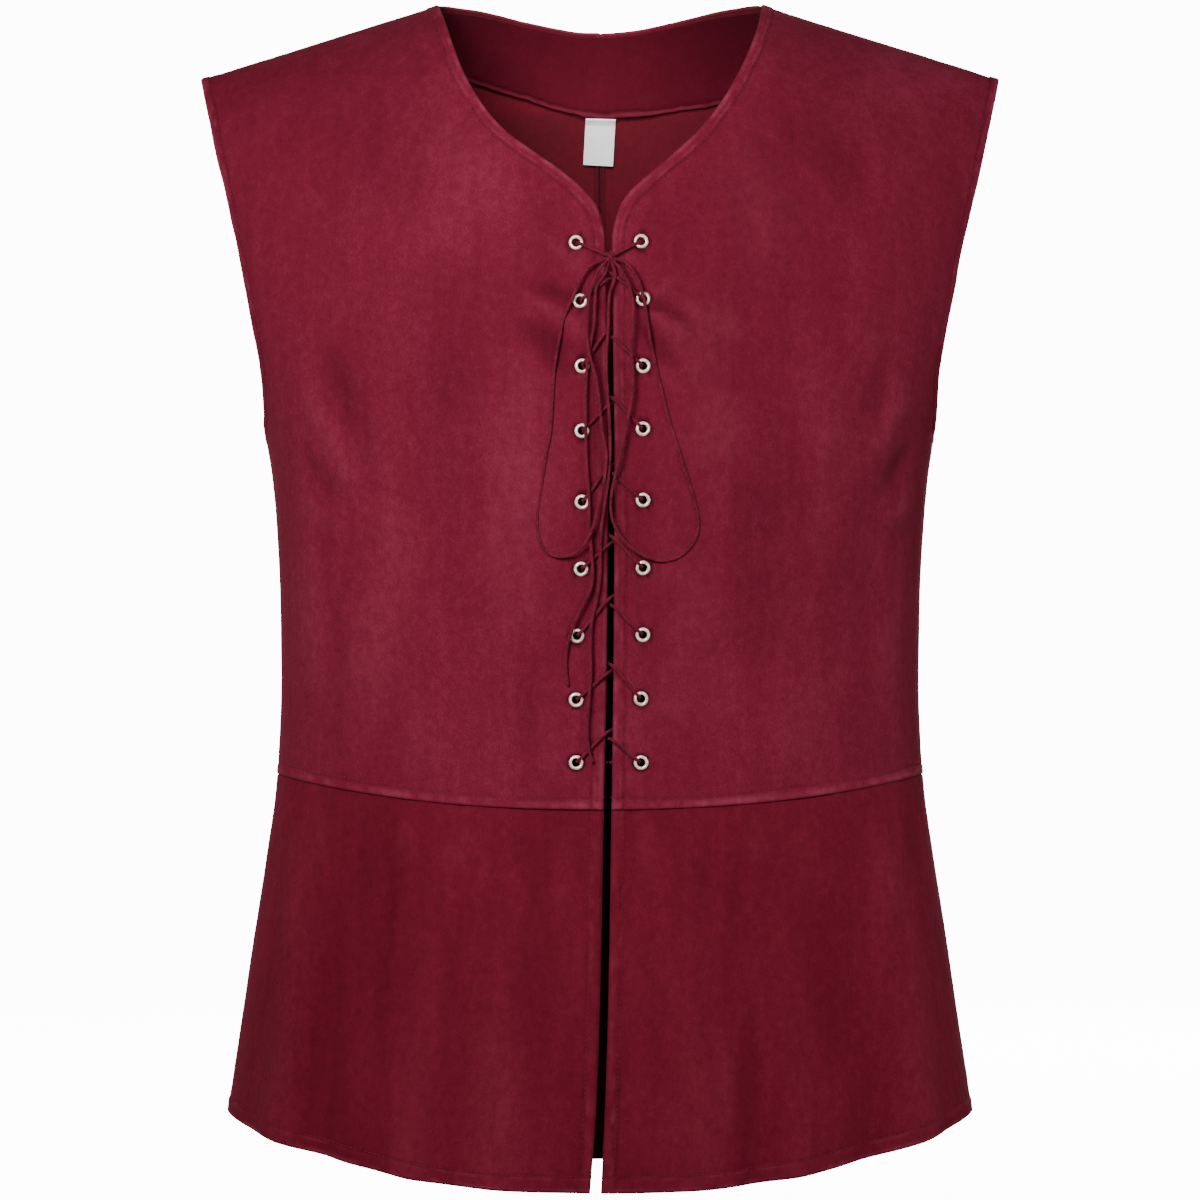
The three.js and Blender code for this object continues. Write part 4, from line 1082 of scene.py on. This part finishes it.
def lay_skirt(side, hand, columns, rows, seed):
    name = "back_skirt" if side == "back" else f"front_skirt_{hand}"
    u, v = closer_at_edges(columns, 0.6), closer_at_edges(rows, 0.62)
    turn, drop = fill_between(skirt_edges(side, hand), u, v)
    points = form_point(side, turn, drop)
    folds = add_folds(side, points, turn, v)
    flat_edges = [((slice(None), -1), 1), ((0, slice(None)), 2)]
    if side == "back":
        flat_edges.append(((slice(None), 0), 1))
    cloth = Cloth(name, points, drop, flat_edges)
    # The folds add painted highlight on their crests and painted shade in their valleys.
    cloth.crease(*crease_heights(name, cloth.around, drop, seed), folds / 3)
    cloth.height += 0.25 * soft_noise(cloth.around / 28, drop / 50, seed)
    if side == "front":
        cloth.add("opening", points[:, 0], turned_edge, seed + 3, width=SKIRT_EDGE)
        cloth.add("side", points[:, -1], seam_dip, seed + 4)
    else:
        cloth.add("side", points[:, -1], seam_dip, seed + 4)
        cloth.add("far_side", points[:, 0], seam_dip, seed + 5)
    cloth.add("waist", points[0], below_waist, seed + 6)
    hem = {"width": HEM_EDGE, "band": 0.45, "groove": 0.5}
    away = cloth.add("hem", points[-1], turned_edge, seed + 7, **hem)
    cloth.thick += (THICKEST - CLOTH) * (1 - smooth_step((away - 9.0) / 1.2))
    cloth.points[0, :, 2] += TUCK_UP
    cloth.height[0] = -TUCK_IN
    return cloth


for seed, (side, hand) in enumerate([("front", "right"), ("front", "left"), ("back", "")]):
    columns, rows = (96, 96) if side == "front" else (170, 90)
    cloth = lay_skirt(side, hand, columns, rows, 200 + 20 * seed)
    panels[cloth.name] = cloth
    print(cloth.name, "flat size in mm:", [round(x) for x in cloth.flat_size()])

# %% [markdown]
# ## From plans to cloth
# Until here a panel is only a table of places. Now each one is cut as a mesh, with nine holes in
# each front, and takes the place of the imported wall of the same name. A boolean could drill the
# holes, but it leaves ragged faces in cloth, so the faces in the hole are taken out instead.

# %% Cut every panel
cloth_objects = {}
for name, cloth in panels.items():
    holes = []
    if name in ("front_right", "front_left"):
        holes = [eyelet_place(name.split("_")[1], number) for number in range(9)]
    made = cut_cloth(cloth, holes)
    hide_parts(name)
    cloth_objects[name] = made
    print(name, "faces:", len(made.data.polygons))

# %% [markdown]
# ## The facing and the care label
# Inside the back neck lies a shaped facing, a second layer of the same cloth, and a small white
# label of woven tape hangs from its lower edge. Both are thin sheets a little inside the backs.
# They could be part of the backs' mesh, but a sewer cuts them separately and so does this script.

# %% Facing
FACING_HALF, FACING_GROOVE, FACING_STITCH = 137, 0.4, 3.0
FACING_EDGE = [
    (-146, 16), (-118, 28), (-84, 39), (-50, 50), (0, 61.5), (40, 59), (80, 52), (118, 35),
    (146, 16),
]
LAYERS = {"back_neck_facing": 1.1, "care_label": 0.45}


def lay_facing():
    across = np.linspace(-FACING_HALF, FACING_HALF, 141)[None, :]
    v = closer_at_edges(26, 0.6)[:, None]
    neck = BACK_NECK_DROP / 2 * (1 + np.cos(np.pi * np.clip(across / NECK_HALF, -1, 1)))
    top = np.where(np.abs(across) < NECK_HALF, neck, shoulder_drop(across)) + 0.5
    bottom = smooth_table(FACING_EDGE, across)
    bottom = bottom + 0.5 * soft_noise(across / 16, 1, 77) + 0.3 * soft_noise(across / 5, 2, 77)
    across, drop = np.broadcast_arrays(across + 0 * v, top + (bottom - top) * v)
    edge_away = bottom - drop
    stitch_away = edge_away - FACING_STITCH
    puckers = 0.25 * soft_noise(across / 3.2, drop / 9, 78) * bump_at(stitch_away, 4)
    groove = FACING_GROOVE * bump_at(stitch_away - 0.4 * soft_noise(across / 6, 3, 79), 0.8)
    roll = 0.35 * np.clip(1 - edge_away / 1.2, 0, 1) ** 2
    waves = 0.35 * (1 + soft_noise(across / 26, drop / 40, 80))
    lift = -(CLOTH + 0.35 + LAYERS["back_neck_facing"] + waves + puckers - groove - roll)
    cloth = Cloth("back_neck_facing", place("back", across, drop, lift)[0], drop)
    # Paler on the rolled lower edge, partly wear and partly painted highlight, and painted shade in
    # the stitch groove.
    cloth.rubbed = bump_at(edge_away - 1, 1.0)
    cloth.creased = groove / FACING_GROOVE
    cloth.edges["lower"] = edge_away
    return cloth


panels["back_neck_facing"] = lay_facing()
print("facing:", [round(x) for x in panels["back_neck_facing"].flat_size()], "mm")


# %% Care label
LABEL_CORNER, LABEL_WIDE, LABEL_DOWN, LABEL_ASLANT = (-8.7, 61.0), 18.4, 27.6, 1.7


def lay_label():
    u, v = np.linspace(0, 1, 33)[None, :], closer_at_edges(44, 0.3)[:, None]
    across = LABEL_CORNER[0] + LABEL_WIDE * u - LABEL_ASLANT * v
    drop = LABEL_CORNER[1] + LABEL_DOWN * v + 0.5 * u
    curl = 1.3 * v**3 * (0.4 + 0.6 * u) + 0.35 * np.sin(np.pi * u) * np.sin(2.6 * v)
    rib = 0.12 * bump_at(v - 0.08, 0.02)
    lift = -(CLOTH + 0.9 + LAYERS["care_label"] + 1.6 * (1 - smooth_step(v / 0.18)) + curl - rib)
    return Cloth("care_label", place("back", across, drop, lift)[0], drop)


panels["care_label"] = lay_label()
print("label:", [round(x) for x in panels["care_label"].flat_size()], "mm")

# %% [markdown]
# ## Sewn in, with the right side to the wearer
# The facing and the label are seen from inside the vest. So their faces are turned round after
# they are cut, and their own thin layer of cloth grows towards the back panels.

# %% Sew them in
for name, layer in LAYERS.items():
    panels[name].thick[:] = layer
    made = cut_cloth(panels[name], thickest=layer)
    bm = bmesh.new()
    bm.from_mesh(made.data)
    bmesh.ops.reverse_faces(bm, faces=bm.faces)
    bm.to_mesh(made.data)
    bm.free()
    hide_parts(name)
    cloth_objects[name] = made
    print(name, "faces:", len(made.data.polygons))

# %% [markdown]
# ## How much cloth
# A cutter wants to know what to cut. For each panel the flat width and length are measured along
# the cloth, and its area is printed. A box round the finished piece would give too little, because
# the cloth goes round the body.

for name, made in cloth_objects.items():
    width, length = (x * MM for x in panels[name].flat_size())
    area = min(panels[name].area() * MM * MM, width * length)
    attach(made, "root")
    print(name, "area in square decimetres:", round(area * 100, 2))

# %% [markdown]
# ## The eyelets
# An eyelet is two turned rings clinched through the cloth. Its profile is drawn once and spun
# round its own axis, as a lathe would turn it. A torus would lack the barrel and the flange that
# catch the light, and the bore has to stay open for the lace.

# %% Turn the eyelets
EYELET_PROFILE = [
    (2.42, -2.7), (2.9, -2.95), (3.9, -2.75), (4.1, -2.3), (3.6, -1.75), (2.95, -1.5), (2.95, -0.3),
    (3.6, -0.22), (4.2, -0.12), (4.28, 0.12), (4.2, 0.42), (3.95, 0.7), (3.6, 0.92), (3.2, 1.0),
    (2.85, 0.92), (2.58, 0.62), (2.42, 0.1), (2.42, -2.7),
]


def turn_eyelet(name, centre, out, seed):
    """Spins the profile about the eyelet's axis and sets it square on the cloth."""
    bm = bmesh.new()
    verts = [bm.verts.new((radius * MM, 0, height * MM)) for radius, height in EYELET_PROFILE[:-1]]
    verts.append(verts[0])
    edges = [bm.edges.new(pair) for pair in zip(verts, verts[1:])]
    bmesh.ops.spin(
        bm, geom=verts[:-1] + edges, axis=(0, 0, 1), cent=(0, 0, 0), steps=40,
        angle=2 * np.pi, use_merge=True,
    )
    bmesh.ops.remove_doubles(bm, verts=bm.verts, dist=1e-7)
    bmesh.ops.recalc_face_normals(bm, faces=bm.faces)
    for vert in bm.verts:
        angle = np.arctan2(vert.co.y, vert.co.x)
        dent = float(soft_noise(angle * 2.2 + 9, vert.co.z / MM * 0.4, seed)) * 0.09
        if vert.co.z > 0:
            vert.co *= 1 + 0.02 * float(soft_noise(angle * 1.1 + 3, 1, seed + 1))
            vert.co.z += dent * MM
    upright = Vector((0, 0, 1)).rotation_difference(Vector(out)).to_matrix().to_4x4()
    seat = Matrix.Translation(Vector(centre * MM)) @ upright
    bmesh.ops.transform(bm, matrix=seat, verts=bm.verts)
    return new_object(name, bm)


eyelets = []
for hand in ("right", "left"):
    for number in range(9):
        centre, out = eyelet_place(hand, number)
        made = turn_eyelet(f"eyelet_ring_{hand}_{number + 1}", centre, out, 300 + number)
        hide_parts(f"eyelet_{hand}_{number + 1}")
        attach(made, "root")
        eyelets.append(made)
print("eyelets:", len(eyelets), "faces each:", len(eyelets[0].data.polygons))

# %% [markdown]
# ## Topstitching
# The thread lies in the grooves as a row of short raised stitches. One stitch, a stretched ball of
# a few dozen faces, is copied along each line. Painting the thread would be lighter, but it would
# stay flat where the light rakes across the waist seam.


# %% Find a stitch line on the cloth
def stitch_line(cloth, edge, width, from_side):
    """The line that runs a width in from an edge, and the way out of the cloth along it."""
    away, points, out = cloth.edges[edge], cloth.raised(), cloth.out
    if from_side in ("top", "bottom"):
        away, points, out = away.T, points.swapaxes(0, 1), out.swapaxes(0, 1)
    if from_side in ("last", "bottom"):
        away, points, out = away[:, ::-1], points[:, ::-1], out[:, ::-1]
    line, ways = [], []
    for distances, row, way in zip(away, points, out):
        c = int(np.argmax(distances >= width))
        if c == 0 or distances[0] > 1.0:
            continue
        t = (width - distances[c - 1]) / (distances[c] - distances[c - 1])
        line.append(row[c - 1] + t * (row[c] - row[c - 1]))
        ways.append(way[c - 1] + t * (way[c] - way[c - 1]))
    return np.array(line), np.array(ways)


line, ways = stitch_line(panels["front_right"], "opening", OPENING_EDGE, "first")
print("the stitches of one front edge run over", round(run_along(line)[-1]), "mm")


# %% One stitch, and a row of it
WAIST_STITCH = 7.6
IN_PAIRS = [
    ("front", "opening", OPENING_EDGE, "first"), ("front", "armhole", ARMHOLE_EDGE, "last"),
    ("back", "armhole", ARMHOLE_EDGE, "last"), ("back", "neck", NECK_EDGE, "top"),
    ("front", "waist", WAIST_STITCH, "bottom"), ("back", "waist", WAIST_STITCH, "bottom"),
    ("front_skirt", "opening", SKIRT_EDGE, "first"), ("front_skirt", "hem", HEM_EDGE, "bottom"),
]
STITCH_LINES = [(f"{panel}_{hand}", *how) for panel, *how in IN_PAIRS for hand in ("right", "left")]
STITCH_LINES += [
    ("back_skirt", "hem", HEM_EDGE, "bottom"),
    ("back_neck_facing", "lower", FACING_STITCH, "bottom"),
]


def one_stitch():
    bm = bmesh.new()
    bmesh.ops.create_uvsphere(bm, u_segments=6, v_segments=4, radius=1.0)
    bmesh.ops.rotate(bm, matrix=Matrix.Rotation(np.pi / 2, 3, "Y"), verts=bm.verts)
    bmesh.ops.scale(bm, vec=(1.2 * MM, 0.2 * MM, 0.16 * MM), verts=bm.verts)
    mesh = bpy.data.meshes.new("one_stitch")
    bm.to_mesh(mesh)
    bm.free()
    return mesh


def sew(bm, stitch, line, ways, seed, pitch=3.1):
    """Copies the stitch along a line, with the small unevenness of a machine seam."""
    spots, length = even_steps(line, pitch)
    runs = run_along(line)
    at = np.linspace(0, length, len(spots))
    out = np.stack([np.interp(at, runs, ways[:, k]) for k in range(3)], axis=1)
    forward = np.gradient(spots, axis=0)
    wander = np.random.default_rng(seed).normal(0, 0.05, (len(spots), 2))
    for spot, way, up, (aside, high) in zip(spots, forward, out, wander):
        x = Vector(way).normalized()
        z = (Vector(up) - x * x.dot(Vector(up))).normalized()
        y = z.cross(x)
        turned = Matrix((x, y, z)).transposed().to_4x4()
        move = Vector(spot) + y * aside + z * (0.06 + high)
        matrix = Matrix.Translation(move * MM) @ turned
        stitch.transform(matrix)
        bm.from_mesh(stitch)
        stitch.transform(matrix.inverted())
    return len(spots)


print("lines to stitch:", len(STITCH_LINES))

# %% Stitch every line
stitches = {}
for number, (name, edge, width, from_side) in enumerate(STITCH_LINES):
    line, ways = stitch_line(panels[name], edge, width, from_side)
    if name == "back_neck_facing":
        ways = -ways
    if name not in stitches:
        stitches[name] = (bmesh.new(), one_stitch(), [])
    bm, stitch, counts = stitches[name]
    counts.append(sew(bm, stitch, line, ways, 400 + number))
stitch_objects = {}
for name, (bm, stitch, counts) in stitches.items():
    made = new_object(f"{name}_topstitching", bm)
    bpy.data.meshes.remove(stitch)
    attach(made, "root")
    stitch_objects[name] = made
    print(name, "stitches:", sum(counts), "faces:", len(made.data.polygons))

# %% [markdown]
# ## Finishes
# A material in Blender is a small network of nodes. The helper below keeps such a network short:
# each call adds one node, sets its numbers, and joins it to the nodes before it. All patterns read
# the place on the piece itself, so they stay put when the vest is seen from another side.


# %% A helper for node networks
def colour(red, green, blue):
    """A colour as a painter's values from 0 to 255, turned into the light values Blender uses."""
    values = np.array([red, green, blue]) / 255
    linear = np.where(values <= 0.04045, values / 12.92, ((values + 0.055) / 1.055) ** 2.4)
    return (*linear, 1.0)


# A darker copy of a shade, the colour that painted shade blends towards.
def deeper(shade, share):
    return tuple(x * share for x in shade[:3]) + (1.0,)


class Finish:
    """A material that grows node by node."""

    def __init__(self, name, **shader):
        self.material = bpy.data.materials.new(name)
        self.material.use_nodes = True
        self.tree = self.material.node_tree
        self.shader = next(n for n in self.tree.nodes if n.type == "BSDF_PRINCIPLED")
        for socket, value in shader.items():
            self.set(self.shader, socket.replace("_", " "), value)

    def set(self, node, socket, value):
        where = node.inputs[socket]
        if isinstance(value, bpy.types.NodeSocket):
            self.tree.links.new(value, where)
        else:
            where.default_value = value

    def node(self, kind, inputs=(), output=0, **settings):
        made = self.tree.nodes.new(kind)
        for key, value in settings.items():
            setattr(made, key, value)
        for socket, value in dict(inputs).items():
            self.set(made, socket, value)
        return made.outputs[output]

    def place(self, stretch=(1, 1, 1), turn=(0, 0, 0), source="Object"):
        where = self.node("ShaderNodeTexCoord", output=source)
        return self.node(
            "ShaderNodeMapping", {"Vector": where, "Scale": stretch, "Rotation": turn}
        )

    def noise(self, vector, scale, detail=3.0, roughness=0.55, distortion=0.0):
        return self.node(
            "ShaderNodeTexNoise",
            {
                "Vector": vector, "Scale": scale, "Detail": detail, "Roughness": roughness,
                "Distortion": distortion,
            },
        )

    def math(self, operation, a, b=0.0, c=0.0, clamp=False):
        numbers = {0: a, 1: b, 2: c}
        return self.node("ShaderNodeMath", numbers, operation=operation, use_clamp=clamp)

    def blend(self, amount, first, second):
        return self.node(
            "ShaderNodeMix", {"Factor": amount, "A": first, "B": second}, output=2, data_type="RGBA"
        )

    def attribute(self, name):
        return self.node("ShaderNodeAttribute", output=2, attribute_name=name)

    def bump(self, height, distance, strength=1.0, under=None):
        inputs = {"Height": height, "Distance": distance, "Strength": strength}
        if under is not None:
            inputs["Normal"] = under
        return self.node("ShaderNodeBump", inputs)

    def ramp(self, amount, stops):
        made = self.tree.nodes.new("ShaderNodeValToRGB")
        self.set(made, "Fac", amount)
        elements = made.color_ramp.elements
        while len(elements) < len(stops):
            elements.new(0.5)
        for element, (position, shade) in zip(elements, stops):
            element.position, element.color = position, shade
        return made.outputs[0]


print("wine red as light values:", [round(float(x), 3) for x in colour(99, 23, 41)])

# %% [markdown]
# ## Suede cloth
# Suede cloth has a short dull nap. Handling brushes it this way and that, so its colour is mottled
# and streaked along the length of the garment, and it shines softly where the light grazes it. It
# is painted paler on its edges and on the crests of creases and folds, partly for wear and partly
# as painted highlight, and darker in creases, grooves, dips and round the eyelets as painted shade.
# Several sizes of noise are added up for the mottling: one size alone looks like marble. The skirt
# gets darker shades than the bodice, and the facing darker ones still, as painted shade.


# %% The right side of the cloth
def suede(name, dark, middle, light, rubbed, streak=0.17):
    cloth = Finish(
        name, Roughness=0.95, Specular_IOR_Level=0.04, Sheen_Weight=0.11, Sheen_Roughness=0.4,
        Sheen_Tint=colour(214, 110, 124),
    )
    clouds = cloth.noise(cloth.place((1, 1, 0.45)), 8, 2.0, 0.5, 0.4)
    streaks = cloth.noise(cloth.place((1, 1, 0.16)), 60, 4.0, 0.6, 0.3)
    mottle = cloth.noise(cloth.place((1, 1, 0.8)), 210, 5.0, 0.7, 0.2)
    nap = cloth.noise(cloth.place((1, 1, 0.5)), 1500, 4.0, 0.7)
    tone = cloth.math("MULTIPLY", clouds, 0.26)
    for pattern, share in [(streaks, streak), (mottle, 0.25), (nap, 0.49 - streak)]:
        tone = cloth.math("ADD", tone, cloth.math("MULTIPLY", pattern, share))
    base = cloth.ramp(tone, [(0.34, dark), (0.5, middle), (0.66, light)])
    # Paler where the mesh marks wear and painted highlight: rubbed edges and the crests of creases
    # and folds.
    wear_and_highlight_share = cloth.math("MULTIPLY", cloth.attribute("rubbed"), mottle)
    base = cloth.blend(cloth.math("MULTIPLY", wear_and_highlight_share, 1.1, clamp=True), base, rubbed)
    # Painted shade: darker in creases, fold valleys, stitch grooves, seam dips, under the waist
    # band and round the eyelets.
    deep = cloth.math("MULTIPLY", cloth.attribute("creased"), 0.55, clamp=True)
    base = cloth.blend(deep, base, deeper(dark, 0.35))
    cloth.set(cloth.shader, "Base Color", base)
    rough = cloth.bump(mottle, 0.0006, 0.55)
    rough = cloth.bump(nap, 0.0003, 0.5, rough)
    cloth.set(cloth.shader, "Normal", rough)
    return cloth.material


suede_right_side = suede(
    "wine_suede", colour(80, 15, 29), colour(99, 23, 41), colour(118, 36, 57), colour(146, 62, 82)
)
# The skirt's darker shades are painted shade for the lower light on the skirt.
skirt_suede = suede(
    "skirt_suede", colour(74, 12, 24), colour(92, 18, 34), colour(109, 28, 46),
    colour(138, 54, 72), 0.22,
)
# The facing's darker shades are painted shade for the dim inside of the neck.
facing_suede = suede(
    "facing_suede", colour(60, 9, 20), colour(71, 12, 25), colour(84, 17, 32),
    colour(106, 35, 50),
)
print("suede materials:", suede_right_side.name, skirt_suede.name, facing_suede.name)

# %% [markdown]
# ## The woven reverse
# Suede cloth has a flat woven backing, and a care label is woven tape. Both are two sets of threads
# that cross, so two sine waves over the UV map are multiplied. The map is laid out in metres, which
# gives the threads their true pitch. A picture of cloth would do as well, but not at every size.


# %% Two woven cloths
def woven(name, dark, light, pitch, height, **shader):
    cloth = Finish(name, **shader)
    threads = cloth.place((1 / pitch, 1 / pitch, 1), source="UV")
    across = cloth.node("ShaderNodeSeparateXYZ", {"Vector": threads})
    down = across.node.outputs[1]
    warp = cloth.math("SINE", cloth.math("MULTIPLY", across, 2 * np.pi))
    weft = cloth.math("SINE", cloth.math("MULTIPLY", down, 2 * np.pi))
    weave = cloth.math("MULTIPLY_ADD", cloth.math("MULTIPLY", warp, weft), 0.5, 0.5)
    slubs = cloth.noise(cloth.place((1, 1, 0.3)), 300, 4.0, 0.65)
    clouds = cloth.noise(cloth.place(), 18, 3.0)
    uneven = cloth.math("MULTIPLY_ADD", slubs, 0.4, cloth.math("MULTIPLY", clouds, 0.25))
    tone = cloth.math("MULTIPLY_ADD", weave, 0.35, uneven)
    base = cloth.ramp(tone, [(0.25, dark), (0.75, light)])
    # Painted shade: darker where the mesh marks creases, grooves and dips.
    deep = cloth.math("MULTIPLY", cloth.attribute("creased"), 0.7, clamp=True)
    base = cloth.blend(deep, base, deeper(dark, 0.25))
    cloth.set(cloth.shader, "Base Color", base)
    rough = cloth.bump(weave, height, 0.6)
    cloth.set(cloth.shader, "Normal", cloth.bump(slubs, height, 0.4, rough))
    return cloth.material


suede_reverse = woven(
    "suede_reverse", colour(70, 13, 24), colour(100, 22, 35), 0.0009, 0.00018,
    Roughness=0.95, Specular_IOR_Level=0.05, Sheen_Weight=0.04, Sheen_Roughness=0.5,
)
label_tape = woven(
    "white_woven_tape", colour(226, 226, 228), colour(250, 250, 250), 0.0006, 0.0001,
    Roughness=0.55, Specular_IOR_Level=0.4, Sheen_Weight=0.15, Sheen_Roughness=0.3,
)
print("woven materials:", suede_reverse.name, label_tape.name)

# %% [markdown]
# ## Cord and thread
# The lace is spun from the same wine-coloured fibre, and short fibres stand off it. Its two plies
# are painted a little lighter on their crowns and darker in the groove between them, as painted
# highlight and painted shade. The pattern follows the cord's own UV map, which runs along it. A
# hair system could grow those fibres one by one, but on a cord of two millimetres a rough bump
# looks the same.


# %% Lace cord and thread
def spun(name, dark, light, plies, pitch, **shader):
    cord = Finish(name, **shader)
    where = cord.place(source="UV")
    along = cord.node("ShaderNodeSeparateXYZ", {"Vector": where})
    around = along.node.outputs[1]
    wind = cord.math("MULTIPLY", along, 2 * np.pi / pitch)
    turn = cord.math("MULTIPLY", around, 2 * np.pi * plies)
    ridge = cord.math("COSINE", cord.math("SUBTRACT", turn, wind))
    fibres = cord.noise(cord.place(), 2200, 4.0, 0.7)
    blotches = cord.noise(cord.place(), 160, 3.0, 0.6)
    # The ply ridge adds painted highlight on the crowns of the plies and painted shade in the
    # groove between them.
    tone = cord.math("ADD", cord.math("MULTIPLY", ridge, 0.035), cord.math("MULTIPLY", fibres, 0.5))
    tone = cord.math("ADD", tone, cord.math("MULTIPLY", blotches, 0.5))
    cord.set(cord.shader, "Base Color", cord.ramp(tone, [(0.28, dark), (0.72, light)]))
    rough = cord.bump(ridge, 0.00005, 0.5)
    cord.set(cord.shader, "Normal", cord.bump(fibres, 0.00025, 0.8, rough))
    return cord.material


lace_fibre = spun(
    "lace_fibre", colour(48, 6, 17), colour(120, 29, 49), 2, 0.0036,
    Roughness=0.75, Specular_IOR_Level=0.09, Sheen_Weight=0.04, Sheen_Roughness=0.4,
)


def sewing_thread():
    thread = Finish(
        "sewing_thread", Roughness=0.75, Specular_IOR_Level=0.12, Sheen_Weight=0.04,
        Sheen_Roughness=0.4,
    )
    twist = thread.noise(thread.place(), 2600, 3.0, 0.6)
    shades = [(0.35, colour(78, 14, 28)), (0.65, colour(108, 27, 44))]
    thread.set(thread.shader, "Base Color", thread.ramp(twist, shades))
    thread.set(thread.shader, "Normal", thread.bump(twist, 0.0001, 0.5))
    return thread.material


wine_thread = sewing_thread()
print("spun materials:", lace_fibre.name, wine_thread.name)

# %% [markdown]
# ## Eyelet metal
# The eyelets are thin pale gold plate over steel. A stamped ring is never a perfect mirror, so two
# sizes of noise make its colour and its shine uneven. Full metal would go black wherever it
# mirrors the dark cloth, and the photograph shows it pale, so it is made only partly metallic.


# %% Eyelet metal
def eyelet_plate():
    metal = Finish("pale_gold_plate", Metallic=0.35, Specular_IOR_Level=0.6)
    blotches = metal.noise(metal.place(), 420, 4.0, 0.6)
    scratches = metal.noise(metal.place((1, 0.2, 1), (0, 0, 0.6)), 2600, 3.0, 0.6)
    shades = [
        (0.34, colour(206, 176, 150)), (0.5, colour(250, 230, 210)), (0.66, colour(255, 246, 236)),
    ]
    metal.set(metal.shader, "Base Color", metal.ramp(blotches, shades))
    dull = metal.ramp(scratches, [(0.3, (0.16,) * 3 + (1,)), (0.7, (0.42,) * 3 + (1,))])
    metal.set(metal.shader, "Roughness", dull)
    rough = metal.bump(blotches, 0.0002, 0.12)
    metal.set(metal.shader, "Normal", metal.bump(scratches, 0.00004, 0.15, rough))
    return metal.material


pale_gold = eyelet_plate()
print("metal:", pale_gold.name)

# %% [markdown]
# ## Each piece gets its finish
# A panel has two materials: the suede on its right side and the woven backing on the other, which
# the Solidify modifier picks for the reverse. The facing and the label look the same on both.

# %% Give each piece its finish
INSIDE_FINISHES = {
    "back_neck_facing": (facing_suede, "suede_facing"), "care_label": (label_tape, "label_white"),
}
for name, made in cloth_objects.items():
    right_side = skirt_suede if "skirt" in name else suede_right_side
    reverse, slot = suede_reverse, "suede_cloth"
    if name in INSIDE_FINISHES:
        right_side, slot = INSIDE_FINISHES[name]
        reverse = right_side
    made.data.materials.append(right_side)
    made.data.materials.append(reverse)
for pieces, finish in [
    (cords.values(), lace_fibre), (stitch_objects.values(), wine_thread), (eyelets, pale_gold),
]:
    for made in pieces:
        made.data.materials.append(finish)
print("finished pieces:", len(cloth_objects) + len(cords) + len(stitch_objects) + len(eyelets))

# %% [markdown]
# ## The studio
# The photograph is lit softly from the front, a little above the chest, against white. Here a
# round sheet of pale paper runs along the floor and up in a curve all round the vest, far enough
# out that the camera stays inside it from every side. The paper glows evenly, but only the camera
# sees it, so its brightness doesn't wash out the cloth, which the lamps light by themselves.


# %% Paper floor and backdrop
def paper_sweep():
    paper = Finish("studio_paper", Roughness=0.9, Specular_IOR_Level=0.1, Emission_Strength=13.0)
    paper.set(paper.shader, "Emission Color", colour(255, 255, 255))
    grain = paper.noise(paper.place(), 60, 3.0)
    shades = [(0.3, colour(246, 246, 246)), (0.7, colour(252, 252, 252))]
    paper.set(paper.shader, "Base Color", paper.ramp(grain, shades))
    floor_z, floor_reach, bend, wall_top = -0.74, 5.2, 1.6, 6.0
    turns = np.linspace(0, np.pi / 2, 12)
    outline = [(0.0, floor_z), (floor_reach, floor_z)]
    outline += [
        (floor_reach + bend * np.sin(t), floor_z + bend * (1 - np.cos(t))) for t in turns[1:]
    ]
    outline.append((floor_reach + bend, wall_top))
    bm = bmesh.new()
    verts = [bm.verts.new((reach, 0, z)) for reach, z in outline]
    edges = [bm.edges.new(pair) for pair in zip(verts, verts[1:])]
    bmesh.ops.spin(
        bm, geom=verts + edges, axis=(0, 0, 1), cent=(0, 0, 0), steps=96, angle=2 * np.pi,
        use_merge=True,
    )
    bmesh.ops.remove_doubles(bm, verts=bm.verts, dist=1e-5)
    bmesh.ops.recalc_face_normals(bm, faces=bm.faces)
    if next(iter(bm.faces)).normal.z < 0:
        bmesh.ops.reverse_faces(bm, faces=bm.faces)
    made = new_object("studio_sweep", bm, paper.material)
    made.visible_diffuse = made.visible_glossy = False
    return made


paper = paper_sweep()
print("paper faces:", len(paper.data.polygons))

# %% [markdown]
# ## The lamps
# Large soft lamps stand around the vest, as in a studio: a key from the upper left, a weaker fill
# from the right, two at the sides and one behind for the views from there. A narrow one reaches
# into the neck, where the facing and the label would otherwise sink into the dark. A sky alone
# would light all sides the same and flatten the folds.


# %% Lights
def area_light(name, location, target, size, power, spread=180):
    light = bpy.data.lights.new(name, "AREA")
    light.shape, light.size, light.energy, light.spread = "DISK", size, power, np.radians(spread)
    made = bpy.data.objects.new(name, light)
    made.location = location
    way = Vector(target) - Vector(location)
    made.rotation_euler = way.to_track_quat("-Z", "Y").to_euler()
    made.visible_camera = False
    bpy.context.collection.objects.link(made)


area_light("key", (-0.36, -1.2, 0.06), (-0.04, 0, -0.22), size=0.5, power=22)
area_light("fill", (1.1, -2.2, 0.1), (0, 0, -0.3), size=1.4, power=15)
area_light("neck_light", (0, -1.3, 0.5), (0, 0.08, -0.045), size=0.1, power=0.078, spread=8)
area_light("left_side_light", (-2.4, 0.6, -0.2), (0, 0, -0.4), size=1.2, power=26)
area_light("right_side_light", (2.4, 0.2, -0.2), (0, 0, -0.4), size=1.2, power=33)
area_light("back_light", (0.7, 2.4, 0.5), (0, 0, -0.3), size=1.2, power=50)
world = bpy.data.worlds.new("studio_air")
bpy.context.scene.world = world
world.use_nodes = True
air = world.node_tree.nodes["Background"]
air.inputs["Color"].default_value = (1, 1, 1, 1)
air.inputs["Strength"].default_value = 0.1
